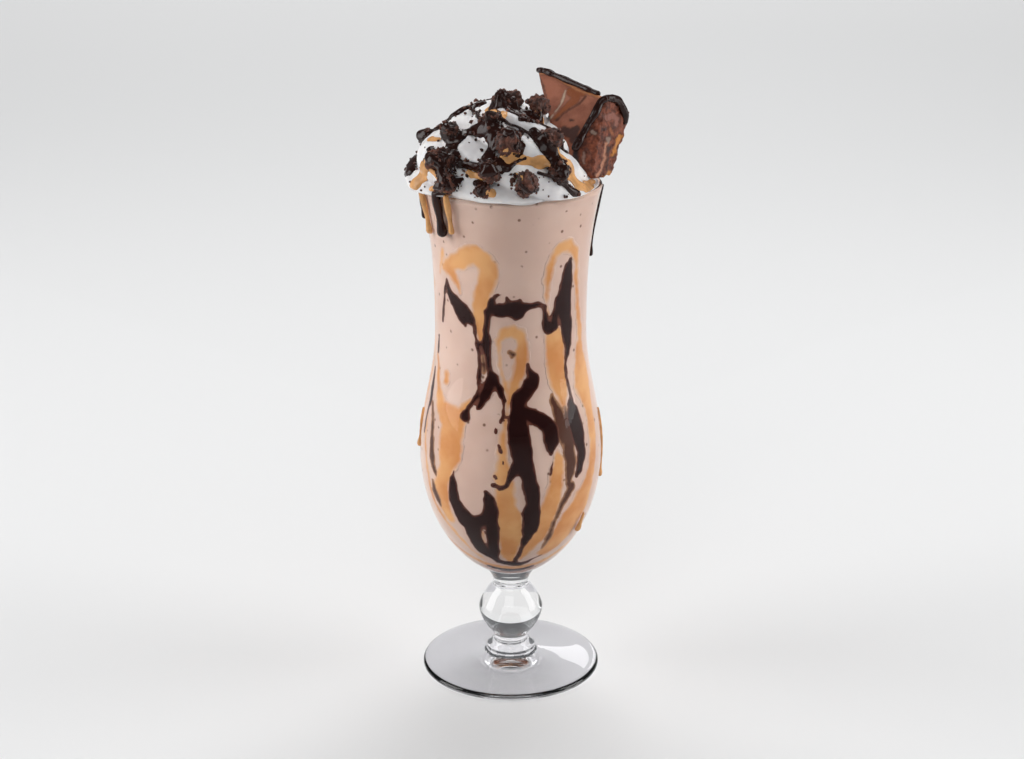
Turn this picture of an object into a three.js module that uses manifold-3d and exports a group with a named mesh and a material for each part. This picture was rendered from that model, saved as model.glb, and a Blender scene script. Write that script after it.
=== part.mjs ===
// Brownie cocktail: a milkshake in a stemmed hurricane glass, under whipped cream with
// brownie chunks, chocolate and caramel sauce, and a wedge of brownie tucked in at the rim.
// Millimetres, +Z up. The origin is the middle of the foot's underside, -Y is the front.
import * as THREE from 'three';
import { ConvexGeometry } from 'three/addons/geometries/ConvexGeometry.js';
import { mergeVertices } from 'three/addons/utils/BufferGeometryUtils.js';
import Module from 'manifold-3d';

// Glass
const GLASS_HEIGHT = 203;
const RIM_RADIUS = 35.3;
const WAIST_RADIUS = 29.6;
const WAIST_HEIGHT = 146;
const BULGE_RADIUS = 36.15;
const BULGE_HEIGHT = 94;
const BOWL_DEPTH = 54.5;
const BOWL_FULLNESS = 1.85;
const BOWL_START = 44;
const FLARE_POWER = 2.6;
const WALL = 1.75;
const FLOOR_HEIGHT = 42;
const FOOT_RADIUS = 36.1;
const FOOT_EDGE = 2.5;
const FOOT_CROWN = 6.4;
const RING_RADIUS = 10;
const RING_HEIGHT = 8.2;
const KNOB_RADIUS = 12.95;
const KNOB_HEIGHT = 25.4;
const NECK_RADIUS = 6.8;
const LOWER_NECK_HEIGHT = 12.4;
const UPPER_NECK_HEIGHT = 36.2;
const GLASS_SEGMENTS = 28;
const ROPE_SIDES = 6;

// Drink and cream
const GAP = 0.35;
const DRINK_TOP = 201.8;
const CREAM_BASE = GLASS_HEIGHT;
const CREAM_RADIUS = 35.2;
const CREAM_HEIGHT = 30.5;
const RIDGES_DOWN = 3.8;
const RIDGES_AROUND = 6;
const RIDGE_DEPTH = 3.4;
const LUMP_DEPTH = 1.2;
const LOBE_REACH = 3.4;

// Brownie wedge: a triangular slice whose smooth face looks to the front left
const WEDGE_TOP_LEFT = new THREE.Vector3(11.8, 27.4, 239.8);
const WEDGE_TOP_RIGHT = new THREE.Vector3(35.4, 4.2, 233.2);
const WEDGE_TIP = new THREE.Vector3(20.4, 1.2, 209.0);
const WEDGE_HEEL = new THREE.Vector3(37.6, 4.2, 205.4);
const WEDGE_TOE = new THREE.Vector3(30.8, 1.4, 205.0);
const WEDGE_THICKNESS = 16.5;
const WEDGE_EDGE_ROUND = 1.3;

const GLASS_CLEAR = { color: 0xe9edf0, roughness: 0.05, metalness: 0, transparent: true, opacity: 0.4 };
const SHAKE_BEIGE = { color: 0xcfb3a6, roughness: 0.5, metalness: 0 };
const CREAM_WHITE = { color: 0xf2ede8, roughness: 0.45, metalness: 0 };
const BROWNIE_DARK = { color: 0x38211a, roughness: 0.85, metalness: 0 };
const BROWNIE_SMOOTH = { color: 0x74493c, roughness: 0.6, metalness: 0 };

const wasm = await Module();
wasm.setup();

const degrees = THREE.MathUtils.degToRad;

// A closed three.js geometry as a solid that can be joined and cut.
function solidFrom(geometry) {
  const bare = geometry.clone();
  bare.deleteAttribute('normal');
  bare.deleteAttribute('uv');
  const merged = mergeVertices(bare, 1e-4);
  const index = merged.index.array;
  const triangles = [];
  for (let i = 0; i < index.length; i += 3) {
    const [a, b, c] = [index[i], index[i + 1], index[i + 2]];
    if (a !== b && b !== c && c !== a) {
      triangles.push(a, b, c);
    }
  }
  const vertProperties = new Float32Array(merged.attributes.position.array);
  let solid = new wasm.Manifold(new wasm.Mesh({
    numProp: 3, vertProperties, triVerts: new Uint32Array(triangles),
  }));
  if (solid.volume() < 0) {
    solid = new wasm.Manifold(new wasm.Mesh({
      numProp: 3, vertProperties, triVerts: new Uint32Array(triangles.reverse()),
    }));
  }
  return solid;
}

function geometryFrom(solid) {
  const mesh = solid.getMesh();
  const geometry = new THREE.BufferGeometry();
  geometry.setAttribute('position', new THREE.BufferAttribute(new Float32Array(mesh.vertProperties), 3));
  geometry.setIndex(new THREE.BufferAttribute(new Uint32Array(mesh.triVerts), 1));
  geometry.computeVertexNormals();
  return geometry;
}

// A profile of [radius, height] pairs turned round the Z axis.
function turned(profile, segments) {
  const points = profile.map(([radius, height]) => new THREE.Vector2(radius, height));
  return new THREE.LatheGeometry(points, segments).rotateX(Math.PI / 2);
}

// A round rope of the given radius along a list of points.
function rope(points, radius) {
  const section = new THREE.Shape();
  section.absarc(0, 0, radius, 0, 2 * Math.PI, false);
  return new THREE.ExtrudeGeometry(section, {
    steps: points.length - 1,
    curveSegments: ROPE_SIDES / 2,
    bevelEnabled: false,
    extrudePath: new THREE.CatmullRomCurve3(points),
  });
}

function ball(centre, radii, widthSegments = 8, heightSegments = 6) {
  return new THREE.SphereGeometry(1, widthSegments, heightSegments)
    .scale(radii[0], radii[1], radii[2])
    .translate(centre.x, centre.y, centre.z);
}

// The outer radius of the bowl: a full round bottom, a bulge, a waist and a flared mouth.
function bowlRadius(z) {
  if (z < BULGE_HEIGHT) {
    const drop = (BULGE_HEIGHT - z) / BOWL_DEPTH;
    return BULGE_RADIUS * (1 - drop ** 2) ** (1 / BOWL_FULLNESS);
  }
  if (z < WAIST_HEIGHT) {
    const turn = (Math.PI * (z - BULGE_HEIGHT)) / (WAIST_HEIGHT - BULGE_HEIGHT);
    return WAIST_RADIUS + ((BULGE_RADIUS - WAIST_RADIUS) * (1 + Math.cos(turn))) / 2;
  }
  const rise = (z - WAIST_HEIGHT) / (GLASS_HEIGHT - WAIST_HEIGHT);
  return WAIST_RADIUS + (RIM_RADIUS - WAIST_RADIUS) * rise ** FLARE_POWER;
}

// The bowl's inside, or a face that lies the given distance inside of that.
function innerRadius(z, inset = 0) {
  if (z >= BULGE_HEIGHT) {
    return bowlRadius(z) - WALL - inset;
  }
  const drop = (BULGE_HEIGHT - z) / (BULGE_HEIGHT - FLOOR_HEIGHT - inset);
  const round = Math.max(0, 1 - drop ** 2) ** (1 / BOWL_FULLNESS);
  return (BULGE_RADIUS - WALL - inset) * round;
}

// Heights up the inside wall, close together in the round bottom.
function innerHeights(from, to, steps) {
  const heights = [];
  for (let i = 0; i <= steps; i++) {
    heights.push(from + (to - from) * (i / steps) ** 1.5);
  }
  return heights;
}

function footProfile() {
  const profile = [[0, 0], [FOOT_RADIUS - FOOT_EDGE / 2, 0]];
  for (let i = 1; i < 6; i++) {
    const angle = -Math.PI / 2 + (Math.PI * i) / 6;
    profile.push([
      FOOT_RADIUS - FOOT_EDGE / 2 + (FOOT_EDGE / 2) * Math.cos(angle),
      FOOT_EDGE / 2 + (FOOT_EDGE / 2) * Math.sin(angle),
    ]);
  }
  for (let i = 0; i <= 5; i++) {
    const inward = i / 5;
    profile.push([
      FOOT_RADIUS - FOOT_EDGE / 2 + (RING_RADIUS - FOOT_RADIUS + FOOT_EDGE / 2) * inward,
      FOOT_EDGE + (FOOT_CROWN - FOOT_EDGE) * inward ** 1.4,
    ]);
  }
  return profile;
}

function stemProfile() {
  const curve = new THREE.SplineCurve([
    new THREE.Vector2(RING_RADIUS, RING_HEIGHT),
    new THREE.Vector2(NECK_RADIUS, LOWER_NECK_HEIGHT),
    new THREE.Vector2(KNOB_RADIUS * 0.85, KNOB_HEIGHT - 6.4),
    new THREE.Vector2(KNOB_RADIUS, KNOB_HEIGHT),
    new THREE.Vector2(KNOB_RADIUS * 0.79, KNOB_HEIGHT + 6.6),
    new THREE.Vector2(NECK_RADIUS, UPPER_NECK_HEIGHT),
    new THREE.Vector2(bowlRadius(BOWL_START), BOWL_START),
  ]);
  return curve.getPoints(15).map((point) => [point.x, point.y]);
}

function glassProfile() {
  const profile = [...footProfile(), ...stemProfile()];
  for (const z of innerHeights(BOWL_START, GLASS_HEIGHT - WALL / 2, 14).slice(1)) {
    profile.push([bowlRadius(z), z]);
  }
  profile.push([RIM_RADIUS - WALL * 0.25, GLASS_HEIGHT]);
  profile.push([RIM_RADIUS - WALL * 0.75, GLASS_HEIGHT]);
  for (const z of innerHeights(FLOOR_HEIGHT, GLASS_HEIGHT - WALL / 2, 12).reverse()) {
    profile.push([innerRadius(z), z]);
  }
  return profile;
}

// Sauce that ran over the rim or down the outside: where round the glass, from which
// height to which, how thick the run is and how fat its last drop.
const OUTSIDE_RUNS = [
  { angle: 217, top: 201.5, end: 188.5, radius: 1.9, drop: 2.7 },
  { angle: 186, top: 200, end: 190, radius: 1.0, drop: 1.6 },
  { angle: 3, top: 201, end: 174, radius: 0.7, drop: 1.15 },
  { angle: 184, top: 112, end: 97, radius: 0.6, drop: 1.3 },
  { angle: 356, top: 112, end: 84, radius: 0.6, drop: 1.2 },
  { angle: 330, top: 73, end: 66, radius: 0.7, drop: 1.6 },
  { angle: 95, top: 198, end: 181, radius: 1.0, drop: 1.6 },
];

function onOutside(angle, z, lift) {
  const radius = bowlRadius(z) + lift;
  return new THREE.Vector3(radius * Math.cos(degrees(angle)), radius * Math.sin(degrees(angle)), z);
}

function outsideRun({ angle, top, end, radius, drop }) {
  const steps = 3;
  const points = [];
  for (let i = 0; i <= steps; i++) {
    points.push(onOutside(angle, top + ((end - top) * i) / steps, radius * 0.35));
  }
  const bulb = ball(onOutside(angle, end, drop * 0.3), [drop, drop, drop * 1.6]);
  return solidFrom(rope(points, radius)).add(solidFrom(bulb));
}

function makeGlass() {
  let glass = solidFrom(turned(glassProfile(), GLASS_SEGMENTS));
  const inside = solidFrom(turned(drinkProfile(0, GLASS_HEIGHT + 1), GLASS_SEGMENTS));
  for (const run of OUTSIDE_RUNS) {
    glass = glass.add(outsideRun(run).subtract(inside));
  }
  return glass;
}

// What fills the bowl to the given height, the given distance in from its wall.
function drinkProfile(inset, top) {
  const profile = [[0, FLOOR_HEIGHT + inset]];
  for (const z of innerHeights(FLOOR_HEIGHT + inset, top, 12).slice(1)) {
    profile.push([innerRadius(z, inset), z]);
  }
  profile.push([0, top]);
  return profile;
}

// How far the piled cream stands out beyond a plain dome, round the glass and down from its top.
function creamRelief(around, down) {
  const fold = RIDGES_DOWN * (down / 90) - RIDGES_AROUND * (around / 360);
  const ridge = Math.abs(Math.sin(Math.PI * (fold + 0.08))) ** 0.7;
  const lumps = Math.sin(degrees(3 * around + 40)) * Math.sin(degrees(4 * down - 30))
    + 0.6 * Math.sin(degrees(5 * around - 3 * down));
  const fromLobe = ((around - 186) / 26) ** 2 + ((down - 86) / 20) ** 2;
  const offTop = THREE.MathUtils.smoothstep(down, 3, 30);
  return offTop * (RIDGE_DEPTH * (ridge - 0.6) + LUMP_DEPTH * lumps) + LOBE_REACH * Math.exp(-fromLobe);
}

// A point on the cream, in degrees round the glass and down from the top, lifted by some mm.
function onCream(around, down, lift = 0) {
  const stand = 1 + (creamRelief(around, down) + lift) / CREAM_RADIUS;
  const level = CREAM_RADIUS * Math.sin(degrees(down)) * stand;
  return new THREE.Vector3(
    level * Math.cos(degrees(around)),
    level * Math.sin(degrees(around)),
    CREAM_BASE + CREAM_HEIGHT * Math.cos(degrees(down)) * stand,
  );
}

function creamDome() {
  const dome = new THREE.SphereGeometry(1, 40, 26);
  dome.rotateX(Math.PI / 2);
  const position = dome.attributes.position;
  for (let i = 0; i < position.count; i++) {
    const [x, y, z] = [position.getX(i), position.getY(i), position.getZ(i)];
    const down = THREE.MathUtils.radToDeg(Math.acos(THREE.MathUtils.clamp(z, -1, 1)));
    const atPole = Math.hypot(x, y) < 1e-6;
    const around = atPole ? 0 : (THREE.MathUtils.radToDeg(Math.atan2(y, x)) + 360.0001) % 360;
    const point = onCream(around, down);
    position.setXYZ(i, point.x, point.y, point.z);
  }
  return solidFrom(dome);
}

// Sauce squeezed over the cream, each run as [degrees round, degrees down] and its thickness.
const SAUCE_RUNS = [
  { radius: 1.3, route: [[184, 84], [180, 77], [176, 68], [186, 64], [206, 61], [226, 57], [244, 50]] },
  { radius: 1.2, route: [[187, 55], [167, 45], [156, 32], [182, 22], [228, 25]] },
  { radius: 1.3, route: [[222, 87], [220, 73], [232, 69], [246, 72], [262, 73], [274, 66]] },
  { radius: 1.8, route: [[294, 52], [302, 59], [307, 70], [309, 80]] },
  { radius: 1.2, route: [[238, 54], [240, 46], [250, 42], [262, 52], [266, 64]] },
  { radius: 1.3, route: [[20, 40], [50, 55], [80, 50], [110, 62], [140, 60]] },
  { radius: 1.4, route: [[40, 80], [62, 72], [90, 80], [120, 76], [150, 82]] },
  { radius: 1.2, route: [[30, 22], [70, 30], [110, 24], [140, 34]] },
];

function sauceRun({ radius, route }) {
  const guide = new THREE.CatmullRomCurve3(route.map(([around, down]) => new THREE.Vector3(around, down, 0)));
  const points = guide.getPoints(Math.round(route.length * 1.6)).map((spot) => onCream(spot.x, spot.y, radius * 0.35));
  const ends = [points[0], points[points.length - 1]];
  let run = solidFrom(rope(points, radius));
  for (const end of ends) {
    run = run.add(solidFrom(ball(end, [radius * 1.02, radius * 1.02, radius * 1.02], 6, 4)));
  }
  return run;
}

// Brownie chunks: degrees round the glass, degrees down from the top, half width, half height.
const CHUNKS = [
  [250, 6, 6.8, 4.8],
  [173, 60, 3.6, 3.7],
  [213, 46, 4.4, 4.0],
  [221, 66, 6.4, 5.0],
  [230, 79, 4.4, 4.7],
  [257, 69, 4.6, 4.3],
  [268, 50, 5.4, 5.9],
  [303, 49, 5.6, 5.4],
  [279, 77, 4.8, 4.9],
  [301, 71, 4.9, 5.0],
  [252, 33, 3.8, 3.4],
  [253, 82, 2.9, 3.3],
  [330, 20, 4.6, 3.8],
  [48, 70, 5.0, 4.6],
  [62, 38, 5.2, 4.6],
  [78, 66, 5.4, 4.8],
  [112, 44, 4.8, 4.3],
  [128, 72, 5.0, 4.8],
  [150, 62, 4.2, 4.0],
];

// A small repeatable random draw, so that every chunk keeps its own crumbly shape.
function seededDraw(seed) {
  let state = seed * 7919 + 17;
  return () => {
    state = (state * 48271) % 2147483647;
    return state / 2147483647;
  };
}

function chunkGeometry(number, margin = 0) {
  const [around, down, halfWidth, halfHeight] = CHUNKS[number];
  const draw = seededDraw(number + 3);
  const rough = new THREE.IcosahedronGeometry(1, 1);
  rough.deleteAttribute('normal');
  rough.deleteAttribute('uv');
  const lump = mergeVertices(rough, 1e-4);
  const position = lump.attributes.position;
  for (let i = 0; i < position.count; i++) {
    const size = 0.8 + 0.24 * draw();
    position.setXYZ(
      i,
      position.getX(i) * (halfWidth * size + margin),
      position.getY(i) * (halfWidth * size + margin),
      position.getZ(i) * (halfHeight * size + margin),
    );
  }
  lump.rotateZ(2 * Math.PI * draw());
  const centre = onCream(around, down, halfHeight * 0.3);
  return lump.translate(centre.x, centre.y, centre.z);
}

// The wedge's corners: its front face, the same corners a thickness further back, and the
// two lower corners where the slice broke off wider.
function wedgeCorners() {
  const across = WEDGE_TOP_RIGHT.clone().sub(WEDGE_TOP_LEFT);
  const along = WEDGE_TIP.clone().sub(WEDGE_TOP_LEFT);
  const back = along.cross(across).normalize().multiplyScalar(-WEDGE_THICKNESS);
  if (back.y < 0) {
    back.negate();
  }
  return [
    WEDGE_TOP_LEFT,
    WEDGE_TOP_RIGHT,
    WEDGE_TIP,
    WEDGE_TOP_LEFT.clone().add(back),
    WEDGE_TOP_RIGHT.clone().add(back),
    WEDGE_HEEL,
    WEDGE_TOE,
  ];
}

function wedgeBody(margin) {
  const points = [];
  for (const corner of wedgeCorners()) {
    const knuckle = new THREE.IcosahedronGeometry(WEDGE_EDGE_ROUND + margin, 1).attributes.position;
    for (let i = 0; i < knuckle.count; i++) {
      points.push(new THREE.Vector3().fromBufferAttribute(knuckle, i).add(corner));
    }
  }
  return solidFrom(new ConvexGeometry(points));
}

// Sauce along the wedge's top edge and down the edge where its smooth and rough faces meet.
function wedgeSauce(margin) {
  const [topLeft, topRight, tip, , backRight] = wedgeCorners();
  const between = (a, b, share, lift) => a.clone().lerp(b, share).add(new THREE.Vector3(0, 0, lift));
  const top = [0, 0.25, 0.5, 0.75].map((share) => between(topLeft, topRight, share, 1.3));
  const edge = [0.02, 0.18, 0.36, 0.54, 0.7].map((share) => {
    return between(topRight, tip, share, 0).add(new THREE.Vector3(0.2, -1.2, 0.3));
  });
  const corner = [0.15, 0.5, 0.85].map((share) => between(topRight, backRight, share, 1.2));
  return solidFrom(rope(top, 1.5 + margin))
    .add(solidFrom(rope(edge, 1.3 + margin)))
    .add(solidFrom(rope([edge[0], ...corner], 1.4 + margin)));
}

function makeWedge(margin = 0) {
  return wedgeBody(margin).add(wedgeSauce(margin));
}

// The cream stands on the drink inside the mouth and spreads over the rim above it.
function makeCream() {
  const slab = new THREE.BoxGeometry(120, 120, 60).translate(0, 0, CREAM_BASE + GAP - 30);
  const plugBottom = DRINK_TOP + GAP;
  const plugTop = CREAM_BASE + 2;
  const plug = turned([
    [0, plugBottom],
    [innerRadius(plugBottom, GAP), plugBottom],
    [innerRadius(CREAM_BASE - WALL, GAP), plugTop],
    [0, plugTop],
  ], GLASS_SEGMENTS);
  let cream = creamDome().subtract(solidFrom(slab)).add(solidFrom(plug));
  const aboveRim = solidFrom(new THREE.BoxGeometry(120, 120, 60).translate(0, 0, CREAM_BASE + GAP + 30));
  for (const run of SAUCE_RUNS) {
    cream = cream.add(sauceRun(run).intersect(aboveRim));
  }
  cream = cream.subtract(makeWedge(GAP));
  for (let number = 0; number < CHUNKS.length; number++) {
    cream = cream.subtract(solidFrom(chunkGeometry(number, GAP)));
  }
  return largestPiece(cream);
}

// Cutting can leave loose scraps of sauce, which are dropped.
function largestPiece(solid) {
  const pieces = solid.decompose();
  pieces.sort((a, b) => b.volume() - a.volume());
  return pieces[0];
}

function meshOf(name, solid, look) {
  const mesh = new THREE.Mesh(geometryFrom(solid), new THREE.MeshStandardMaterial(look));
  mesh.name = name;
  return mesh;
}

function buildCocktail() {
  const cocktail = new THREE.Group();
  cocktail.add(meshOf('glass', makeGlass(), GLASS_CLEAR));
  const drink = solidFrom(turned(drinkProfile(GAP, DRINK_TOP), GLASS_SEGMENTS));
  cocktail.add(meshOf('milkshake', drink, SHAKE_BEIGE));
  cocktail.add(meshOf('whipped_cream', makeCream(), CREAM_WHITE));
  const wedge = makeWedge();
  cocktail.add(meshOf('brownie_wedge', wedge, BROWNIE_SMOOTH));
  const keepOff = makeWedge(GAP);
  for (let number = 0; number < CHUNKS.length; number++) {
    const chunk = solidFrom(chunkGeometry(number)).subtract(keepOff);
    const name = `brownie_chunk_${String(number + 1).padStart(2, '0')}`;
    cocktail.add(meshOf(name, largestPiece(chunk), BROWNIE_DARK));
  }
  return cocktail;
}

export default buildCocktail();
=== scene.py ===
import math
import random

import bmesh
import bpy
import numpy as np
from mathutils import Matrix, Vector, noise
from mathutils.bvhtree import BVHTree


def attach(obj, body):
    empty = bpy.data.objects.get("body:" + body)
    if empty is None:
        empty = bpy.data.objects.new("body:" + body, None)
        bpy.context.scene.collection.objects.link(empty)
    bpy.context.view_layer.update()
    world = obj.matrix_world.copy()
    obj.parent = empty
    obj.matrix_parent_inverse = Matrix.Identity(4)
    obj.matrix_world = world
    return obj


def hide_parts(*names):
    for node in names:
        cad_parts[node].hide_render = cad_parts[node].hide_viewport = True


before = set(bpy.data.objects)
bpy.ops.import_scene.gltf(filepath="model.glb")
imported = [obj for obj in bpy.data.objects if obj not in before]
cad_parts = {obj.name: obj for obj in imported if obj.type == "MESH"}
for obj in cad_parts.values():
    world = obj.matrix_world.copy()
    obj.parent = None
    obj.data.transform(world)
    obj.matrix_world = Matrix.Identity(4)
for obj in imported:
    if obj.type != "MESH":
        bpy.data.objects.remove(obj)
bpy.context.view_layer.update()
scene = bpy.context.scene

# Camera, lamps and floor. Tall softboxes stand at both sides of a pale floor, a wide one in front
# and a small one overhead. A narrow lamp behind gives the foot its gleam, and a large one lights
# the far floor. A lamp is (name, place, aim, size, watts, shown in gloss, shown through glass).
MM = 0.001
CAMERA_PLACE = (0.0005, -0.744, 0.377)
CAMERA_TILT = 71.15
CAMERA_LENS = 70
CAMERA_SENSOR = 36
LAMPS = (
    ("left_softbox", (-1.25, -0.10, 0.50), (0, 0, 0.12), (0.75, 1.5), 13, True, True),
    ("right_softbox", (1.25, -0.05, 0.50), (0, 0, 0.12), (0.70, 1.5), 11.5, True, True),
    ("front_softbox", (-0.2, -1.5, 1.3), (0, 0, 0.15), (1.2, 0.8), 6, True, True),
    ("top_softbox", (0.1, 0.45, 1.0), (0, 0, 0.2), (0.5, 0.3), 2.4, True, False),
    ("foot_gleam", (0.26, 1.35, 0.66), (0.02, 0, 0), (0.10, 0.26), 0.22, True, False),
    ("floor_light", (0, 2.4, 2.0), (0, 1.8, 0), (4, 2.2), 60, False, False),
)
FLOOR_SIDE = 14
FLOOR_COLOUR = (0.80, 0.80, 0.80, 1)
WORLD_COLOUR = (0.92, 0.96, 1.0, 1)
WORLD_STRENGTH = 0.12


def hang_lamp(name, place, aim, size, watts, in_gloss, through_glass):
    lamp = bpy.data.lights.new(name, "AREA")
    lamp.shape = "RECTANGLE"
    lamp.size, lamp.size_y = size
    lamp.energy = watts
    stand = bpy.data.objects.new(name, lamp)
    stand.location = place
    stand.rotation_euler = (Vector(aim) - Vector(place)).to_track_quat("-Z", "Y").to_euler()
    stand.visible_glossy = in_gloss
    stand.visible_transmission = through_glass
    scene.collection.objects.link(stand)


def new_material(name):
    material = bpy.data.materials.new(name)
    material.use_nodes = True
    return material, material.node_tree.nodes, material.node_tree.links


def set_inputs(node, values):
    for socket, value in values.items():
        node.inputs[socket].default_value = value


def add_piece(name, mesh, material):
    piece = bpy.data.objects.new(name, mesh)
    scene.collection.objects.link(piece)
    mesh.materials.append(material)
    return piece


camera_lens = bpy.data.cameras.new("camera")
camera_lens.lens = CAMERA_LENS
camera_lens.sensor_width = CAMERA_SENSOR
camera = bpy.data.objects.new("camera", camera_lens)
camera.location = CAMERA_PLACE
camera.rotation_euler = (math.radians(CAMERA_TILT), 0, 0)
scene.collection.objects.link(camera)
scene.camera = camera

for lamp in LAMPS:
    hang_lamp(*lamp)

room = bpy.data.worlds.new("room")
room.use_nodes = True
set_inputs(room.node_tree.nodes["Background"], {"Color": WORLD_COLOUR, "Strength": WORLD_STRENGTH})
scene.world = room
scene.view_settings.view_transform = "Standard"

floor_form = bmesh.new()
bmesh.ops.create_grid(floor_form, x_segments=1, y_segments=1, size=FLOOR_SIDE / 2)
floor_mesh = bpy.data.meshes.new("floor")
floor_form.to_mesh(floor_mesh)
floor_form.free()
floor_paint, nodes, links = new_material("pale_floor")
set_inputs(nodes["Principled BSDF"], {"Base Color": FLOOR_COLOUR, "Roughness": 0.8})
floor = add_piece("floor", floor_mesh, floor_paint)

# Hurricane glass. One piece of clear blown glass: a bulging bowl on a short stem with a round
# knob, pulled out into a wide foot, with a fire-polished lip.
GLASS_HEIGHT = 203
RIM_RADIUS = 35.3
WAIST_RADIUS = 29.6
WAIST_HEIGHT = 146
BULGE_RADIUS = 36.15
BULGE_HEIGHT = 94
BOWL_DEPTH = 53
BOWL_FULLNESS = 1.85
BOWL_START = 44
FLARE_POWER = 2.6
WALL = 1.75
BOWL_FLOOR = 44.5
FOOT_RADIUS = 36.1
FOOT_EDGE = 2.5
FOOT_CROWN = 6.4
FOOT_SWEEP = 1.4
RING_RADIUS = 10
HOLLOW_RISE = 0.7
STEM_PROFILE = (
    (10, 8.2), (6.8, 12.4), (11.0, 19), (12.95, 25.4), (10.2, 32), (7.5, 35.7), (7.3, 38), (8.5, 40.8),
)
GLASS_TINT = (0.985, 0.99, 0.992, 1)
# Painted shade: the glass's colour is darker at the foot, for the grey that the thick foot shows.
FOOT_PAINTED_SHADE = (0.80, 0.795, 0.815, 1)
FOOT_SHADE = (0.90, 0.90, 0.905, 1)
STEM_BEND = 1.5
BOWL_LINE = 41
BOWL_BEND = 1.24
FOOT_TINT_ABOVE = 0.012
FOOT_TINT_BELOW = 0.005
ROUND_STEPS = 160
ARC_STEPS = 8
FOOT_STEPS = 20
STEM_STEPS = 8
WALL_STEPS = 110


def bowl_radius(height):
    if height < BULGE_HEIGHT:
        rise = (BULGE_HEIGHT - height) / BOWL_DEPTH
        return BULGE_RADIUS * max(0, 1 - rise * rise) ** (1 / BOWL_FULLNESS)
    if height < WAIST_HEIGHT:
        turn = math.pi * (height - BULGE_HEIGHT) / (WAIST_HEIGHT - BULGE_HEIGHT)
        return WAIST_RADIUS + (BULGE_RADIUS - WAIST_RADIUS) * (1 + math.cos(turn)) / 2
    flare = (height - WAIST_HEIGHT) / (GLASS_HEIGHT - WAIST_HEIGHT)
    return WAIST_RADIUS + (RIM_RADIUS - WAIST_RADIUS) * flare ** FLARE_POWER


def inner_radius(height, grow=0.0):
    if height >= BULGE_HEIGHT:
        return bowl_radius(height) - WALL + grow
    rise = (BULGE_HEIGHT - height) / (BULGE_HEIGHT - BOWL_FLOOR + grow)
    return (BULGE_RADIUS - WALL + grow) * max(0, 1 - rise * rise) ** (1 / BOWL_FULLNESS)


def smooth_through(points, steps):
    """Points of a Catmull-Rom line through the given ones, of any number of values each."""
    given = [Vector(p) for p in points]
    ends = [given[0] * 2 - given[1]] + given + [given[-1] * 2 - given[-2]]
    line = []
    for i in range(len(given) - 1):
        a, b, c, d = ends[i : i + 4]
        for k in range(steps):
            t = k / steps
            bend = (2 * a - 5 * b + 4 * c - d) * t * t
            line.append(0.5 * (2 * b + (c - a) * t + bend + (3 * b - 3 * c + d - a) * t ** 3))
    return line + [given[-1]]


def smooth_mesh(name, form):
    for face in form.faces:
        face.smooth = True
    mesh = bpy.data.meshes.new(name)
    form.to_mesh(mesh)
    form.free()
    return mesh


def spun(name, outline):
    """A closed turned form from an outline of (radius, height) in millimetres."""
    form = bmesh.new()
    ring = [form.verts.new((r * MM, 0, z * MM)) for r, z in outline]
    for a, b in zip(ring, ring[1:]):
        form.edges.new((a, b))
    bmesh.ops.spin(
        form, geom=form.verts[:] + form.edges[:], cent=(0, 0, 0), axis=(0, 0, 1),
        angle=math.tau, steps=ROUND_STEPS, use_merge=True,
    )
    bmesh.ops.remove_doubles(form, verts=form.verts, dist=1e-7)
    bmesh.ops.recalc_face_normals(form, faces=form.faces)
    return smooth_mesh(name, form)


def glass_outline():
    flat = FOOT_RADIUS - FOOT_EDGE / 2
    line = [(0, HOLLOW_RISE), (flat * 0.35, HOLLOW_RISE * 0.92), (flat * 0.65, HOLLOW_RISE * 0.6)]
    line += [(flat * 0.85, HOLLOW_RISE * 0.2), (flat * 0.93, 0.05), (flat, 0)]
    for k in range(1, ARC_STEPS + 1):
        turn = math.pi * k / ARC_STEPS - math.pi / 2
        line.append((flat + FOOT_EDGE / 2 * math.cos(turn), FOOT_EDGE / 2 * (1 + math.sin(turn))))
    for k in range(1, FOOT_STEPS + 1):
        inward = k / FOOT_STEPS
        radius = flat + (RING_RADIUS - flat) * inward
        line.append((radius, FOOT_EDGE + (FOOT_CROWN - FOOT_EDGE) * inward ** FOOT_SWEEP))
    stem = STEM_PROFILE + ((bowl_radius(BOWL_START), BOWL_START),)
    line += [(p[0], p[1]) for p in smooth_through(stem, STEM_STEPS)]
    lip = GLASS_HEIGHT - WALL / 2
    line += [(bowl_radius(z), z) for z in np.linspace(BOWL_START, lip, WALL_STEPS)[1:]]
    middle = bowl_radius(lip) - WALL / 2
    for k in range(1, ARC_STEPS + 1):
        turn = math.pi * k / ARC_STEPS
        line.append((middle + WALL / 2 * math.cos(turn), lip + WALL / 2 * math.sin(turn)))
    line += [(inner_radius(z), z) for z in np.linspace(lip, BOWL_FLOOR + 0.4, WALL_STEPS)[1:]]
    line += [(inner_radius(z), z) for z in (BOWL_FLOOR + 0.15, BOWL_FLOOR + 0.04)]
    return line + [(0, BOWL_FLOOR)]


def glass_finish(name, bend):
    """Clear glass that lets the light for shadows straight through, and that light's tint socket."""
    finish, nodes, links = new_material(name)
    body = nodes["Principled BSDF"]
    set_inputs(body, {
        "Base Color": GLASS_TINT, "Roughness": 0.0, "Specular IOR Level": 0.32, "IOR": bend,
        "Transmission Weight": 1.0,
    })
    passing = nodes.new("ShaderNodeBsdfTransparent")
    passing.inputs["Color"].default_value = GLASS_TINT
    path = nodes.new("ShaderNodeLightPath")
    either = nodes.new("ShaderNodeMixShader")
    links.new(path.outputs["Is Shadow Ray"], either.inputs["Fac"])
    links.new(body.outputs["BSDF"], either.inputs[1])
    links.new(passing.outputs["BSDF"], either.inputs[2])
    links.new(either.outputs["Shader"], nodes["Material Output"].inputs["Surface"])
    return finish, passing.inputs["Color"]


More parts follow.
